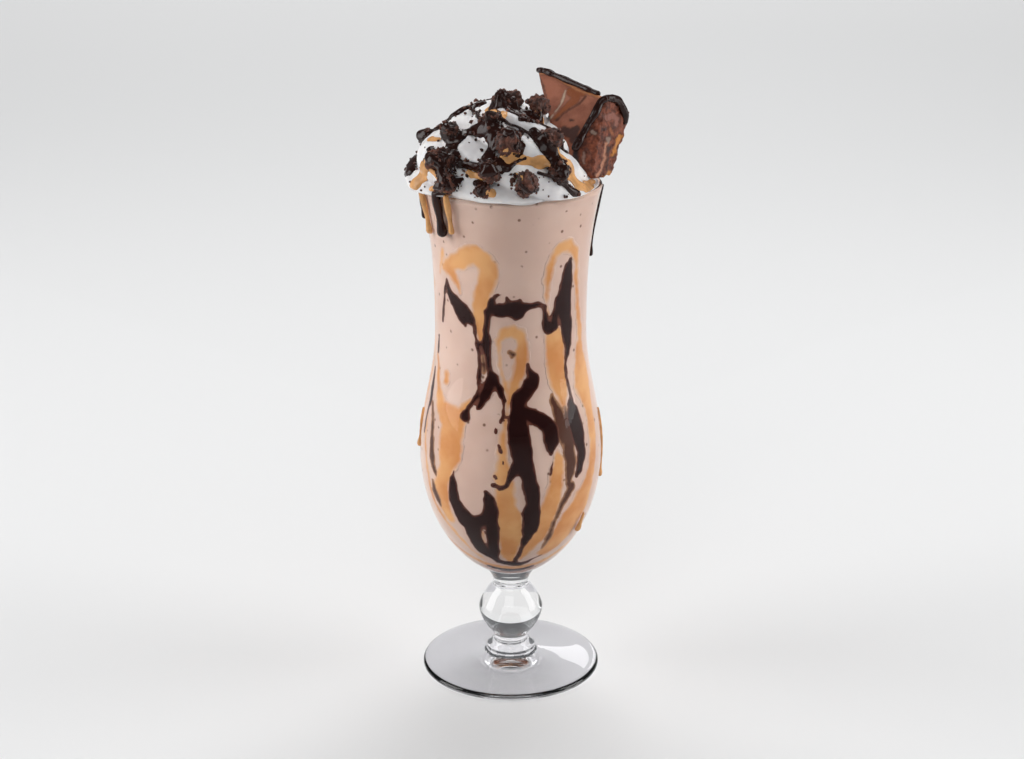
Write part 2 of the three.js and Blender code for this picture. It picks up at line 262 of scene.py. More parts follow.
bowl_glass, _ = glass_finish("bowl_glass", BOWL_BEND)
stem_glass, passing_tint = glass_finish("stem_glass", STEM_BEND)
nodes, links = stem_glass.node_tree.nodes, stem_glass.node_tree.links
place = nodes.new("ShaderNodeTexCoord")
height = nodes.new("ShaderNodeSeparateXYZ")
links.new(place.outputs["Object"], height.inputs["Vector"])
# Near the floor the glass's colour darkens into painted shade, and the light passing the foot for shadows is
# tinted.
in_foot = nodes.new("ShaderNodeMapRange")
set_inputs(in_foot, {"From Min": FOOT_TINT_ABOVE, "From Max": FOOT_TINT_BELOW})
links.new(height.outputs["Z"], in_foot.inputs["Value"])
body_tint = nodes["Principled BSDF"].inputs["Base Color"]
for socket, darker_at_foot in ((body_tint, FOOT_PAINTED_SHADE), (passing_tint, FOOT_SHADE)):
    tint = nodes.new("ShaderNodeMixRGB")
    set_inputs(tint, {"Color1": GLASS_TINT, "Color2": darker_at_foot})
    links.new(in_foot.outputs["Result"], tint.inputs["Fac"])
    links.new(tint.outputs["Color"], socket)

glass_body = add_piece("glass_body", spun("glass_body", glass_outline()), stem_glass)
glass_body.data.materials.append(bowl_glass)
for face in glass_body.data.polygons:
    face.material_index = int(face.center.z > BOWL_LINE * MM)
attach(glass_body, "root")
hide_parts("glass")

# Milkshake. A thick pinkish-beige chocolate shake that fills the bowl to the brim, with dark
# specks of brownie against the glass.
DRINK_TOP = 201.8
DRINK_GROW = 0.06
SHAKE_COLOUR = (0.605, 0.42, 0.345, 1)
SHAKE_PALE = (0.675, 0.495, 0.415, 1)
SPECK_COLOUR = (0.23, 0.13, 0.095, 1)
SPECK_SCALE = 210
SPECK_INSIDE = 0.09
SPECK_EDGE = 0.17
DRINK_STEPS = 120
FLAT_TOP_RADIUS = 24
SHAKE_BODY = {
    "Specular IOR Level": 0.05, "Subsurface Weight": 0.2, "Subsurface Radius": (0.004, 0.003, 0.002),
    "Subsurface Scale": 0.6,
}
SETTLED_COLOUR = (0.30, 0.12, 0.075, 1)
SETTLED_LOW = 0.047
SETTLED_HIGH = 0.054
BOTTOM_COLOUR = (0.74, 0.70, 0.68, 1)
BOTTOM_LOW = 0.0451
BOTTOM_HIGH = 0.0459


def feed(links, source, socket):
    """Puts a number, a colour or another node's output into a socket."""
    if isinstance(source, bpy.types.NodeSocket):
        links.new(source, socket)
    else:
        socket.default_value = source


def mask_below(nodes, links, value, low, high):
    """1 where the value is under low, 0 over high."""
    mask = nodes.new("ShaderNodeMapRange")
    set_inputs(mask, {"To Min": 1, "To Max": 0})
    feed(links, low, mask.inputs["From Min"])
    feed(links, high, mask.inputs["From Max"])
    links.new(value, mask.inputs["Value"])
    return mask.outputs["Result"]


def mixed(nodes, links, mask, first, second):
    """One colour or the other by a mask; each is a colour or a node's output."""
    mix = nodes.new("ShaderNodeMix")
    mix.data_type = "RGBA"
    links.new(mask, mix.inputs["Factor"])
    for socket, colour in (("A", first), ("B", second)):
        feed(links, colour, next(s for s in mix.inputs if s.name == socket and s.type == "RGBA"))
    return next(s for s in mix.outputs if s.type == "RGBA")


def on_object(nodes, links, kind, output, **settings):
    """A pattern laid on Object coordinates, with its inputs fed."""
    place = nodes.new("ShaderNodeTexCoord")
    pattern = nodes.new(kind)
    links.new(place.outputs["Object"], pattern.inputs["Vector"])
    for setting, source in settings.items():
        feed(links, source, pattern.inputs[setting])
    return pattern.outputs[output]


def effect_group(name, numbers, output, kind):
    """A shader group with number inputs and one output, for an effect that several materials share."""
    group = bpy.data.node_groups.new(name, "ShaderNodeTree")
    for number in numbers:
        group.interface.new_socket(name=number, in_out="INPUT", socket_type="NodeSocketFloat")
    group.interface.new_socket(name=output, in_out="OUTPUT", socket_type=kind)
    given = group.nodes.new("NodeGroupInput")
    result = group.nodes.new("NodeGroupOutput")
    return group, given.outputs, result.inputs[output]


def use_effect(nodes, group, **settings):
    """The output of a shared effect, with its inputs set by name."""
    effect = nodes.new("ShaderNodeGroup")
    effect.node_tree = group
    set_inputs(effect, settings)
    return effect.outputs[0]


soft_patches, given, result = effect_group(
    "soft_patches", ("scale", "low", "high", "detail", "roughness"), "mask", "NodeSocketFloat"
)
nodes, links = soft_patches.nodes, soft_patches.links
pattern = on_object(
    nodes, links, "ShaderNodeTexNoise", "Fac",
    Scale=given["scale"], Detail=given["detail"], Roughness=given["roughness"],
)
links.new(mask_below(nodes, links, pattern, given["low"], given["high"]), result)

shake_colour, given, result = effect_group("shake_colour", (), "colour", "NodeSocketColor")
nodes, links = shake_colour.nodes, shake_colour.links
clouds = use_effect(nodes, soft_patches, scale=45, low=0.35, high=0.65, detail=3, roughness=0.5)
shake = mixed(nodes, links, clouds, SHAKE_PALE, SHAKE_COLOUR)
cells = on_object(nodes, links, "ShaderNodeTexVoronoi", "Distance", Scale=SPECK_SCALE)
specks = mask_below(nodes, links, cells, SPECK_INSIDE, SPECK_EDGE)
thinned = nodes.new("ShaderNodeMath")
thinned.operation = "MULTIPLY"
links.new(specks, thinned.inputs[0])
scatter = use_effect(nodes, soft_patches, scale=160, low=0.5, high=0.56, detail=2, roughness=0.5)
links.new(scatter, thinned.inputs[1])
links.new(mixed(nodes, links, thinned.outputs["Value"], shake, SPECK_COLOUR), result)

drink_outline = [(0, BOWL_FLOOR - DRINK_GROW)]
drink_heights = np.linspace(BOWL_FLOOR + 0.02, DRINK_TOP, DRINK_STEPS)
drink_outline += [(inner_radius(z, DRINK_GROW), z) for z in drink_heights]
drink_outline += [(FLAT_TOP_RADIUS, DRINK_TOP), (0, DRINK_TOP)]
milkshake_finish, nodes, links = new_material("milkshake")
body = nodes["Principled BSDF"]
place = nodes.new("ShaderNodeTexCoord")
height = nodes.new("ShaderNodeSeparateXYZ")
links.new(place.outputs["Object"], height.inputs["Vector"])
settled = mask_below(nodes, links, height.outputs["Z"], SETTLED_LOW, SETTLED_HIGH)
lower = mixed(nodes, links, settled, use_effect(nodes, shake_colour), SETTLED_COLOUR)
bottom = mask_below(nodes, links, height.outputs["Z"], BOTTOM_LOW, BOTTOM_HIGH)
links.new(mixed(nodes, links, bottom, lower, BOTTOM_COLOUR), body.inputs["Base Color"])
set_inputs(body, SHAKE_BODY | {"Roughness": 0.45})
milkshake_fill = add_piece("milkshake_fill", spun("milkshake_fill", drink_outline), milkshake_finish)
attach(milkshake_fill, "root")
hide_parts("milkshake")

# Caramel inside the glass. It was drizzled down the inside of the wall before the shake went
# in, and lies between the two in soft-edged runs. Each run is (angle, height, half width).
CARAMEL_RUNS = (
    ((211, 173.5, 1.6), (221, 175.5, 2.5), (230, 178, 3.0), (238, 180.5, 3.1), (244, 182, 3.0),
     (249, 179.5, 3.1), (253, 177, 3.1), (253, 173.5, 3.1), (251, 170, 3.1), (248, 165.5, 3.0),
     (247, 161.5, 2.9), (246, 157.5, 2.9), (247, 153.5, 2.6), (247, 149.5, 2.2), (247, 146.5, 1.8)),
    ((218, 173.5, 2.5), (223, 171, 2.1), (227, 168, 1.3), (228, 165, 0.7)),
    ((212, 180.5, 1.1), (208, 176, 1.3), (204, 170.5, 1)),
    ((196, 136.5, 1), (201, 132.5, 1.3), (203, 127.5, 1.4), (207, 123.5, 1.7), (212, 119.5, 2.3)),
    ((214, 130.5, 1.8), (215, 128.5, 1.7)),
    ((213, 117.5, 2.6), (221, 116, 4), (228, 114, 4.4), (227, 110, 4.6), (226, 104.5, 4.5),
     (226, 99.5, 4.1), (225, 95.5, 3.3), (221, 90.5, 3.2), (218, 86, 3.6), (218, 81.5, 3.4),
     (219, 77.5, 2.9), (222, 73.5, 2.3)),
    ((237, 120.5, 1.2), (240, 123.5, 1), (233, 117.5, 2.3), (233, 112.5, 2.1), (233, 106.5, 1.9),
     (233, 100.5, 1.7), (232, 96.5, 1.3)),
    ((195, 113, 1), (196, 107, 1.3), (198, 100.5, 1.3), (201, 94, 1.4), (203, 88, 1.4), (204, 83, 1.3),
     (206, 78, 1.3), (210, 73.5, 1.4), (217, 69, 1.4), (224, 64.5, 1.2), (232, 59, 0.9),
     (241, 55, 0.8)),
    ((262, 138.5, 0.8), (261, 143.5, 0.9), (261, 148, 1.3), (265, 151, 1.9), (271, 152, 2.1),
     (277, 150, 2.1), (279, 146.5, 2.1), (278, 142.5, 2.3), (277, 138.5, 2.3), (276, 134.5, 2.1),
     (273, 131, 1.9), (271, 127, 1.9), (268, 123, 1.3), (268, 119.5, 0.9)),
    ((262, 138, 0.8), (264, 134.5, 0.9), (266, 131, 1.3), (268, 127, 1.2)),
    ((267, 119.5, 0.9), (266, 114.5, 1.3), (265, 109, 1.5), (265, 103, 1.9), (265, 98.5, 2.5),
     (265, 93.5, 2.8)),
    ((267, 92, 3.2), (266, 87.5, 3.2), (267, 82, 3.4), (269, 76.5, 4.2), (270, 70.5, 4.2),
     (269, 64.5, 3.4), (268, 58, 2.5), (270, 55, 1.5)),
    ((299, 156.5, 0.9), (298, 161.5, 0.9), (298, 166.5, 1.2), (299, 171, 1.5), (300, 176, 1.7),
     (303, 180.5, 1.7), (308, 183.5, 1.9), (316, 183.5, 2.3), (324, 180.5, 1.7), (327, 175.5, 1.3),
     (328, 169.5, 1.4), (331, 163, 1.4), (333, 156.5, 1.6), (336, 150.5, 1.7), (338, 144, 2)),
    ((336, 141, 2.3), (336, 136, 3.4), (336, 131, 4.5), (336, 126, 4.8), (337, 121, 3.7),
     (338, 115.5, 2.8), (338, 109.5, 2.8), (338, 102.5, 2.5), (335, 95.5, 2.5), (333, 90, 2.5)),
    ((308, 150.5, 1.9), (306, 148, 3.4), (307, 143.5, 3.6), (307, 138.5, 3.6), (308, 133.5, 3.6),
     (309, 129, 3.4), (310, 124.5, 2.3), (310, 121, 1.5)),
    ((333, 90, 2.5), (330, 85.5, 3.4), (326, 81, 4.5), (323, 76.5, 5.2), (318, 72.5, 4.9),
     (314, 67, 4.7), (309, 62.5, 4), (302, 59, 2.6)),
    ((301, 103.5, 1.2), (302, 99.5, 2.3), (301, 94.5, 2.7), (300, 89.5, 2.9), (298, 84.5, 3.3),
     (296, 79, 3.4), (294, 73.5, 3.4), (291, 69, 3.4), (287, 65, 2.8), (283, 60.5, 2.1),
     (279, 56.5, 1.3)),
    ((248, 72, 0.8), (249, 69, 0.9), (249, 65, 0.8)),
    ((200, 60, 1.6), (215, 55.5, 1.8), (235, 52, 1.8), (270, 50, 2.2), (305, 52, 1.8), (325, 55.5, 1.8),
     (340, 60, 1.6)),
    ((4, 176, 1.0), (9, 166, 1.8), (6, 152, 1.6), (10, 138, 1.2), (7, 120, 2.2), (4, 102, 1.9),
     (8, 88, 1.0)),
)
CARAMEL_LIFT = 0.12
CARAMEL_SPREAD = 1.45
CARAMEL_WOBBLE = 0.8
WOBBLE_BAND = 2.5
WALL_CELLS = (330, 260)
SHEET_MIDDLE = 120
RUN_DEPTH = 0.5
RUNS_MELD = 1.2
CARAMEL_COLOUR = (0.72, 0.37, 0.155, 1)
CARAMEL_DEEP = (0.60, 0.25, 0.085, 1)
BACK_TURN = 177
BACK_SIZE = 0.95
BACK_SINK = 0.955
BACK_RISE = 5

wall_heights = np.arange(BOWL_FLOOR + 0.3, DRINK_TOP, 0.2)
wall_radii = np.array([inner_radius(z) for z in wall_heights])
wall_lengths = np.concatenate(([0], np.cumsum(np.hypot(np.diff(wall_heights), np.diff(wall_radii)))))


def with_back(runs):
    """The runs seen from the front, and ones like them round the back."""
    behind = []
    for run in runs:
        behind.append([
            ((around + BACK_TURN) % 360, height * BACK_SINK + BACK_RISE, half * BACK_SIZE)
            for around, height, half in run
        ])
    return list(runs) + behind


def depth_in_runs(around, along, level, runs):
    """How far inside the nearest run each point is, in millimetres."""
    outside = np.full(around.shape, 1e3)
    for run in runs:
        own = np.full(around.shape, 1e3)
        for (turn, up, half), (next_turn, next_up, next_half) in zip(run, run[1:]):
            ax = np.radians((turn - around + 180) % 360 - 180) * level
            dx = np.radians((next_turn - turn + 180) % 360 - 180) * level
            ay, dy = up - along, next_up - up
            share = np.clip(-(ax * dx + ay * dy) / (dx * dx + dy * dy + 1e-9), 0, 1)
            reach = np.hypot(ax + share * dx, ay + share * dy)
            own = np.minimum(own, reach - (half + share * (next_half - half)))
        near = np.clip(RUNS_MELD - np.abs(outside - own), 0, None)
        outside = np.minimum(outside, own) - near * near / (4 * RUNS_MELD)
    return -outside


def cut_sheet(name, runs, cells, length, level_at, wobble, place):
    """A sheet of sauce cut to the outlines of its runs, of (angle, way along, half width) points.

    cells is the sheet's cells around and along, and place puts all its points where they lie.
    """
    columns, rows = cells
    form = bmesh.new()
    bmesh.ops.create_grid(form, x_segments=columns, y_segments=rows, size=0.5)
    spots = np.array([v.co for v in form.verts])
    column = np.rint((spots[:, 0] + 0.5) * columns).astype(int)
    row = np.rint((spots[:, 1] + 0.5) * rows).astype(int)
    along = row / rows * length
    around = column * 360.0 / columns
    level = level_at(along)
    depth = depth_in_runs(around, along, level, runs)
    turn = np.radians(around)
    for k in np.nonzero(np.abs(depth) < WOBBLE_BAND)[0]:
        spot = Vector((level[k] * math.cos(turn[k]), level[k] * math.sin(turn[k]), along[k]))
        depth[k] += wobble * (noise.noise(spot * 0.28) + 0.5 * noise.noise(spot * 0.7))
    field = np.zeros((columns + 1, rows + 1))
    field[column, row] = depth
    field[columns] = field[0]
    depth = field[column, row]
    slope_around = (np.roll(field[:-1], -1, axis=0) - np.roll(field[:-1], 1, axis=0)) / 2
    slope_around = np.vstack((slope_around, slope_around[:1]))[column, row] / (math.tau * level / columns)
    slope_up = np.gradient(field, axis=1)[column, row] / (length / rows)
    steep = slope_around ** 2 + slope_up ** 2
    move = np.where(depth < 0, np.clip(-depth, 0, 1.0) / np.maximum(steep, 0.25), 0)
    around = around + np.degrees(move * slope_around / level)
    along = np.clip(along + move * slope_up, 0, length)
    wet = np.zeros(len(depth), dtype=bool)
    away = []
    for face in form.faces:
        corners = [v.index for v in face.verts]
        if any(depth[i] > 0 for i in corners):
            wet[corners] = True
        else:
            away.append(face)
    store = form.verts.layers.float.new("depth")
    form.verts.ensure_lookup_table()
    kept = np.nonzero(wet)[0]
    for k, spot in zip(kept, place(around[kept], along[kept], np.maximum(depth[kept], 0))):
        form.verts[k].co = spot * MM
        form.verts[k][store] = max(0, depth[k])
    bmesh.ops.delete(form, geom=away, context="FACES")
    bmesh.ops.remove_doubles(form, verts=form.verts, dist=2e-6)
    form.normal_update()
    for face in form.faces:
        middle = face.calc_center_median() - Vector((0, 0, SHEET_MIDDLE * MM))
        if face.normal.dot(middle) < 0:
            face.normal_flip()
    return smooth_mesh(name, form)


def wall_sheet(name, runs, lift, wobble):
    """A thin sheet of sauce on the inside of the bowl, at its front and its back."""

    def on_wall(around, along, depth):
        height = np.interp(along, wall_lengths, wall_heights)
        radius = np.interp(along, wall_lengths, wall_radii) + lift
        turn = np.radians(around)
        return [Vector(p) for p in zip(radius * np.cos(turn), radius * np.sin(turn), height)]

    measured = []
    for run in with_back(runs):
        measured.append([(a, float(np.interp(z, wall_heights, wall_lengths)), w) for a, z, w in run])
    return cut_sheet(
        name, measured, WALL_CELLS, wall_lengths[-1],
        lambda along: np.interp(along, wall_lengths, wall_radii), wobble, on_wall,
    )


def add_backed(name, mesh, material):
    """A piece whose sheet gets its thickness towards the shake."""
    piece = add_piece(name, mesh, material)
    backing = piece.modifiers.new("backing", "SOLIDIFY")
    backing.thickness = RUN_DEPTH * MM
    backing.offset = -1
    return piece


def depth_value(nodes):
    depth = nodes.new("ShaderNodeAttribute")
    depth.attribute_name = "depth"
    return depth.outputs["Fac"]


run_edge, given, result = effect_group("run_edge", ("thin", "thick"), "mask", "NodeSocketFloat")
nodes, links = run_edge.nodes, run_edge.links
links.new(mask_below(nodes, links, depth_value(nodes), given["thin"], given["thick"]), result)

caramel_wall, nodes, links = new_material("caramel_on_glass")
body = nodes["Principled BSDF"]
tone = use_effect(nodes, soft_patches, scale=70, low=0.38, high=0.62, detail=3, roughness=0.5)
caramel = mixed(nodes, links, tone, CARAMEL_DEEP, CARAMEL_COLOUR)
edge = use_effect(nodes, run_edge, thin=0.1, thick=1.8)
links.new(mixed(nodes, links, edge, caramel, use_effect(nodes, shake_colour)), body.inputs["Base Color"])
set_inputs(body, SHAKE_BODY | {"Roughness": 0.4})
spread_caramel = [[(a, z, w * CARAMEL_SPREAD) for a, z, w in run] for run in CARAMEL_RUNS]
sheet = wall_sheet("caramel_on_glass", spread_caramel, CARAMEL_LIFT, CARAMEL_WOBBLE)
caramel_on_wall = add_backed("caramel_on_glass", sheet, caramel_wall)
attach(caramel_on_wall, "root")

# Chocolate sauce inside the glass. It was poured over the caramel, ran down in branching
# tongues and pooled at the bottom of the bowl. Each run is (angle, height, half width).
CHOCOLATE_RUNS = (
    ((214, 168.5, 0.6), (215, 166, 1.1), (217, 163.5, 1.8), (223, 161, 2.8), (229, 158.5, 3.6),
     (233, 156.5, 3.6), (238, 155, 2.3), (241, 153, 0.9), (242, 149.5, 0.8), (244, 145.5, 1),
     (245, 142.5, 0.8), (246, 137.5, 0.8), (246, 133, 0.9), (246, 128.5, 1), (245, 125.5, 0.6)),
    ((230, 154.5, 1.6), (233, 152.5, 0.7)),
    ((213, 167.5, 0.7), (210, 163, 0.7), (208, 159, 0.7), (206, 154.5, 0.7), (205, 151, 0.6)),
    ((197, 144, 0.7), (197, 141, 1), (197, 137.5, 0.8)),
    ((256, 164, 1.3), (255, 161, 1.7), (259, 160, 2.6), (268, 160.5, 3.2), (274, 160, 3.9),
     (279, 161, 2.6), (285, 161.5, 1.5), (291, 162, 1.1), (297, 161, 0.9)),
    ((258, 165.5, 0.8), (261, 166, 0.5)),
    ((267, 165, 0.8), (268, 162.5, 1.1)),
    ((277, 164, 0.8), (277, 162, 1.1)),
    ((253, 159, 1.7), (252, 155.5, 1.4), (251, 152, 1.4), (251, 149, 1.5), (251, 146, 2.1),
     (252, 142.5, 1.5), (253, 139, 1.2), (254, 136, 1.4), (256, 133.5, 2.3)),
    ((250, 146, 1.1), (245, 146, 0.8)),
    ((296, 161, 0.9), (297, 157.5, 0.9), (298, 154.5, 1.6), (301, 152, 2.7), (305, 152.5, 2.2),
     (306, 155.5, 1.8), (308, 159.5, 1.7), (309, 163, 1.6), (312, 166, 1.1)),
    ((319, 177.5, 0.8), (318, 175, 2), (317, 171.5, 2.9), (317, 167.5, 3.2), (316, 164, 3.4),
     (316, 160, 3.6), (316, 156, 3.5), (318, 151.5, 3.2), (319, 147.5, 2.7), (320, 143.5, 2),
     (318, 139.5, 0.9), (316, 136, 0.6), (316, 132, 0.6), (317, 128, 0.6), (318, 123.5, 0.8),
     (317, 121, 1.6)),
    ((256, 133, 2.1), (254, 130, 2.6), (251, 126.5, 2.2), (249, 123.5, 1.5), (247, 121.5, 0.9)),
    ((246, 126, 0.9), (242, 123, 0.8), (239, 120.5, 0.8), (237, 118, 2), (237, 117, 2)),
    ((258, 132, 1.8), (261, 130, 1.5), (263, 127.5, 1.4), (265, 125, 1.1), (265, 122, 0.7),
     (265, 119, 0.7), (263, 116.5, 0.6)),
    ((283, 138.5, 0.4), (284, 136, 1.2), (287, 133, 2.5), (285, 131, 3.1), (282, 128.5, 2.6),
     (277, 126, 2.7)),
    ((276, 125.5, 3.1), (275, 122.5, 3.2), (275, 118.5, 3.6), (275, 114, 4.2), (276, 109, 4.6),
     (277, 105, 4.5), (278, 101.5, 4.2), (279, 98.5, 3.6)),
    ((280, 120.5, 2.6), (285, 119, 3), (290, 117, 3.2), (295, 115, 3.3), (298, 112, 3.3),
     (298, 108.5, 3.3), (297, 106, 2.3), (297, 103.5, 1)),
    ((280, 99, 3), (281, 96, 3.1), (282, 92.5, 3.2), (284, 88, 3.1), (285, 84, 2.8), (284, 80, 3.6),
     (284, 75.5, 3.6), (284, 72, 3.3), (282, 68, 1.9), (280, 64, 1), (278, 59.5, 0.9), (275, 56, 0.9),
     (273, 52.5, 0.8)),
    ((273, 99.5, 1.9), (271, 96, 1.5), (269, 94, 1.1), (267, 91.5, 0.9), (263, 90.5, 0.7)),
    ((317, 121, 1.6), (318, 118, 2.9), (318, 114, 3.5), (320, 109.5, 3.7), (321, 105.5, 3.4),
     (322, 101.5, 2.8), (321, 97.5, 2.3), (319, 94, 1.9), (317, 92, 1)),
    ((194, 130.5, 0.6), (195, 125.5, 1.1), (196, 121.5, 1.3), (197, 118, 1.1), (195, 114, 0.8),
     (194, 109, 0.7), (194, 104.5, 0.6)),
    ((259, 92, 1.2), (261, 91.5, 1)),
    ((260, 114, 0.4), (260, 113, 0.4)),
    ((262, 108, 0.4), (263, 107, 0.6), (264, 105, 0.5)),
    ((260, 95.5, 0.4), (261, 94.5, 0.4)),
    ((265, 101.5, 0.4), (265, 100.5, 0.3)),
    ((231, 95, 0.5), (230, 91.5, 1.6), (230, 87.5, 2.4), (230, 82.5, 2.9), (233, 78.5, 3.5),
     (237, 75, 4.3), (241, 72.5, 4.4), (241, 68, 3.3), (242, 64, 3.2), (245, 60.5, 3.3),
     (250, 58.5, 2.8), (254, 56.5, 1.6), (257, 55, 0.8)),
    ((245, 74.5, 3), (253, 76.5, 2.9)),
    ((254, 88.5, 0.9), (256, 85.5, 2.4), (257, 81, 3.1), (256, 76.5, 3.2), (257, 72, 2.7),
     (256, 67, 2.7), (255, 62, 2.5), (255, 57.5, 1.6)),
    ((258, 54.5, 1.4), (269, 53.5, 1.9), (280, 53, 1.7), (288, 54, 1.1), (295, 56, 0.6),
     (302, 57, 0.3)),
    ((298, 100.5, 0.5), (297, 98, 0.5), (296, 95, 0.4)),
    ((240, 50.5, 1.2), (255, 49, 1.9), (270, 48.5, 2.2), (285, 49, 1.9), (300, 50.5, 1.1)),
)
CHOCOLATE_LIFT = 0.28
CHOCOLATE_WOBBLE = 0.55
CHOCOLATE_COLOUR = (0.018, 0.0035, 0.003, 1)
CHOCOLATE_THIN = (0.14, 0.05, 0.035, 1)

chocolate_wall, nodes, links = new_material("chocolate_on_glass")
body = nodes["Principled BSDF"]
edge = use_effect(nodes, run_edge, thin=0.1, thick=0.9)
links.new(mixed(nodes, links, edge, CHOCOLATE_COLOUR, CHOCOLATE_THIN), body.inputs["Base Color"])
set_inputs(body, {"Roughness": 0.35, "Specular IOR Level": 0.05})
sheet = wall_sheet("chocolate_on_glass", CHOCOLATE_RUNS, CHOCOLATE_LIFT, CHOCOLATE_WOBBLE)
chocolate_on_wall = add_backed("chocolate_on_glass", sheet, chocolate_wall)
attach(chocolate_on_wall, "root")

# Thin chocolate inside the glass. Beside the thick runs the sauce mixed with the caramel and the
# shake, and lies there as soft brown smears. Each run is (angle, height, half width).
SMEAR_RUNS = (
    ((313, 88.5, 1.7), (310, 85, 2), (306, 81, 1.6), (304, 77.5, 1.1), (302, 73.5, 1.2), (301, 69, 1.4),
     (300, 65, 1.4), (298, 61, 0.7)),
    ((311, 119.5, 1), (311, 115, 1.7), (311, 109, 2.7), (311, 103, 3.3), (312, 98, 3.1),
     (311, 93.5, 2.5), (310, 90, 1.5), (312, 88, 1.6)),
    ((301, 126, 0.8), (301, 123.5, 1.5), (303, 120.5, 2.3), (305, 117.5, 2.8), (306, 114, 2.8),
     (306, 110.5, 3.1), (307, 107.5, 1.9)),
    ((201, 117.5, 0.7), (205, 113, 1), (207, 107.5, 1.4), (208, 102.5, 1.8), (209, 97.5, 2),
     (211, 93.5, 1.7), (214, 90.5, 1.1)),
    ((209, 86.5, 1), (210, 83, 2.1), (212, 80, 2), (214, 77.5, 0.8)),
    ((248, 143, 0.9), (249, 139, 1.2), (250, 135.5, 1.2)),
    ((269, 143.5, 0.8), (272, 142.5, 1.1), (271, 141.5, 0.8)),
)
SMEAR_LIFT = 0.20
SMEAR_WOBBLE = 0.7
SMEAR_COLOUR = (0.085, 0.034, 0.022, 1)
SMEAR_EDGE = (0.42, 0.22, 0.125, 1)

smear_wall, nodes, links = new_material("chocolate_smear")
body = nodes["Principled BSDF"]
edge = use_effect(nodes, run_edge, thin=0.1, thick=1.1)
links.new(mixed(nodes, links, edge, SMEAR_COLOUR, SMEAR_EDGE), body.inputs["Base Color"])
set_inputs(body, {"Roughness": 0.35, "Specular IOR Level": 0.05})
sheet = wall_sheet("chocolate_smears", SMEAR_RUNS, SMEAR_LIFT, SMEAR_WOBBLE)
smears_on_wall = add_backed("chocolate_smears", sheet, smear_wall)
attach(smears_on_wall, "root")

# Whipped cream. It was piped in a swirl onto the shake and over the lip, and has folds, soft
# lumps, a lobe that leans out on the left, and hollows where the wedge was pushed in and beside
# it. Each place is (degrees round, degrees down from the top), with how far it spreads.
CREAM_BASE = 203
CREAM_RADIUS = 35.2
CREAM_HEIGHT = 30.5
RIDGES_DOWN = 3.8
RIDGES_AROUND = 6
RIDGE_DEPTH = 3.4
LUMP_DEPTH = 1.2
LOBE_REACH = 3.4
LOBE_PLACE = (186, 86)
LOBE_SPREAD = (26, 20)
WEDGE_HOLLOW = 10.5
WEDGE_PLACE = (350, 63)
WEDGE_SPREAD = (28, 26)
NICHE_DEPTH = 9
NICHE_PLACE = (8, 31)
NICHE_SPREAD = (40, 14)
CREAM_COLOUR = (0.97, 0.945, 0.935, 1)
# Painted shade: the grey patched over the cream in place of the shade on its folds.
CREAM_PAINTED_SHADE = (0.70, 0.675, 0.68, 1)
CREAM_STEPS_AROUND = 288
CREAM_STEPS_DOWN = 150
PLUG_EDGE = 202.3
PLUG_TOP = 202.9
PLUG_CLEARANCE = 0.12


def smooth_step(value, low, high):
    share = min(1, max(0, (value - low) / (high - low)))
    return share * share * (3 - 2 * share)


def nearness(around, down, place, spread):
    """1 at a place on the cream, fading to 0 round it."""
    across = ((around - place[0] + 180) % 360 - 180) / spread[0]
    return math.exp(-(across ** 2 + ((down - place[1]) / spread[1]) ** 2))


def cream_relief(around, down):
    """How far the cream stands out, by its angle round and its angle down from the top."""
    fold = RIDGES_DOWN * down / 90 - RIDGES_AROUND * around / 360
    ridge = abs(math.sin(math.pi * (fold + 0.08))) ** 0.7
    lumps = math.sin(math.radians(3 * around + 40)) * math.sin(math.radians(4 * down - 30))
    lumps += 0.6 * math.sin(math.radians(5 * around - 3 * down))
    relief = smooth_step(down, 3, 30) * (RIDGE_DEPTH * (ridge - 0.6) + LUMP_DEPTH * lumps)
    lobe = LOBE_REACH * nearness(around, down, LOBE_PLACE, LOBE_SPREAD)
    relief += lobe - WEDGE_HOLLOW * nearness(around, down, WEDGE_PLACE, WEDGE_SPREAD)
    return relief - NICHE_DEPTH * nearness(around, down, NICHE_PLACE, NICHE_SPREAD)


def on_cream(around, down, lift=0.0):
    """A point over the cream's surface, in millimetres."""
    stand = 1 + (cream_relief(around % 360, down) + lift) / CREAM_RADIUS
    level = CREAM_RADIUS * math.sin(math.radians(down)) * stand
    turn = math.radians(around)
    height = CREAM_BASE + CREAM_HEIGHT * math.cos(math.radians(down)) * stand
    return Vector((level * math.cos(turn), level * math.sin(turn), height))


def cream_underside(around, share):
    """The part of the cream inside the lip: over the rim, down the wall and across the shake."""
    turn = math.radians(around)
    outer = on_cream(around, 90).xy.length
    edge = PLUG_EDGE + 0.5 * math.sin(5 * turn) + 0.3 * math.sin(11 * turn + 1)
    if share < 0.1:
        radius = outer + (inner_radius(PLUG_TOP, PLUG_CLEARANCE) - outer) * share / 0.1
        return Vector((radius * math.cos(turn), radius * math.sin(turn), CREAM_BASE - 0.1 * share / 0.1))
    if share < 0.25:
        height = PLUG_TOP + (edge - PLUG_TOP) * (share - 0.1) / 0.15
        radius = inner_radius(height, PLUG_CLEARANCE)
        return Vector((radius * math.cos(turn), radius * math.sin(turn), height))
    radius = inner_radius(edge, PLUG_CLEARANCE) * (1 - share) / 0.75
    return Vector((radius * math.cos(turn), radius * math.sin(turn), edge - (share - 0.25)))


def tree_of(*meshes):
    """One search tree over several meshes, for laying things on them."""
    spots, faces = [], []
    for mesh in meshes:
        first = len(spots)
        spots += [v.co.copy() for v in mesh.vertices]
        faces += [[first + i for i in f.vertices] for f in mesh.polygons]
    return BVHTree.FromPolygons(spots, faces)


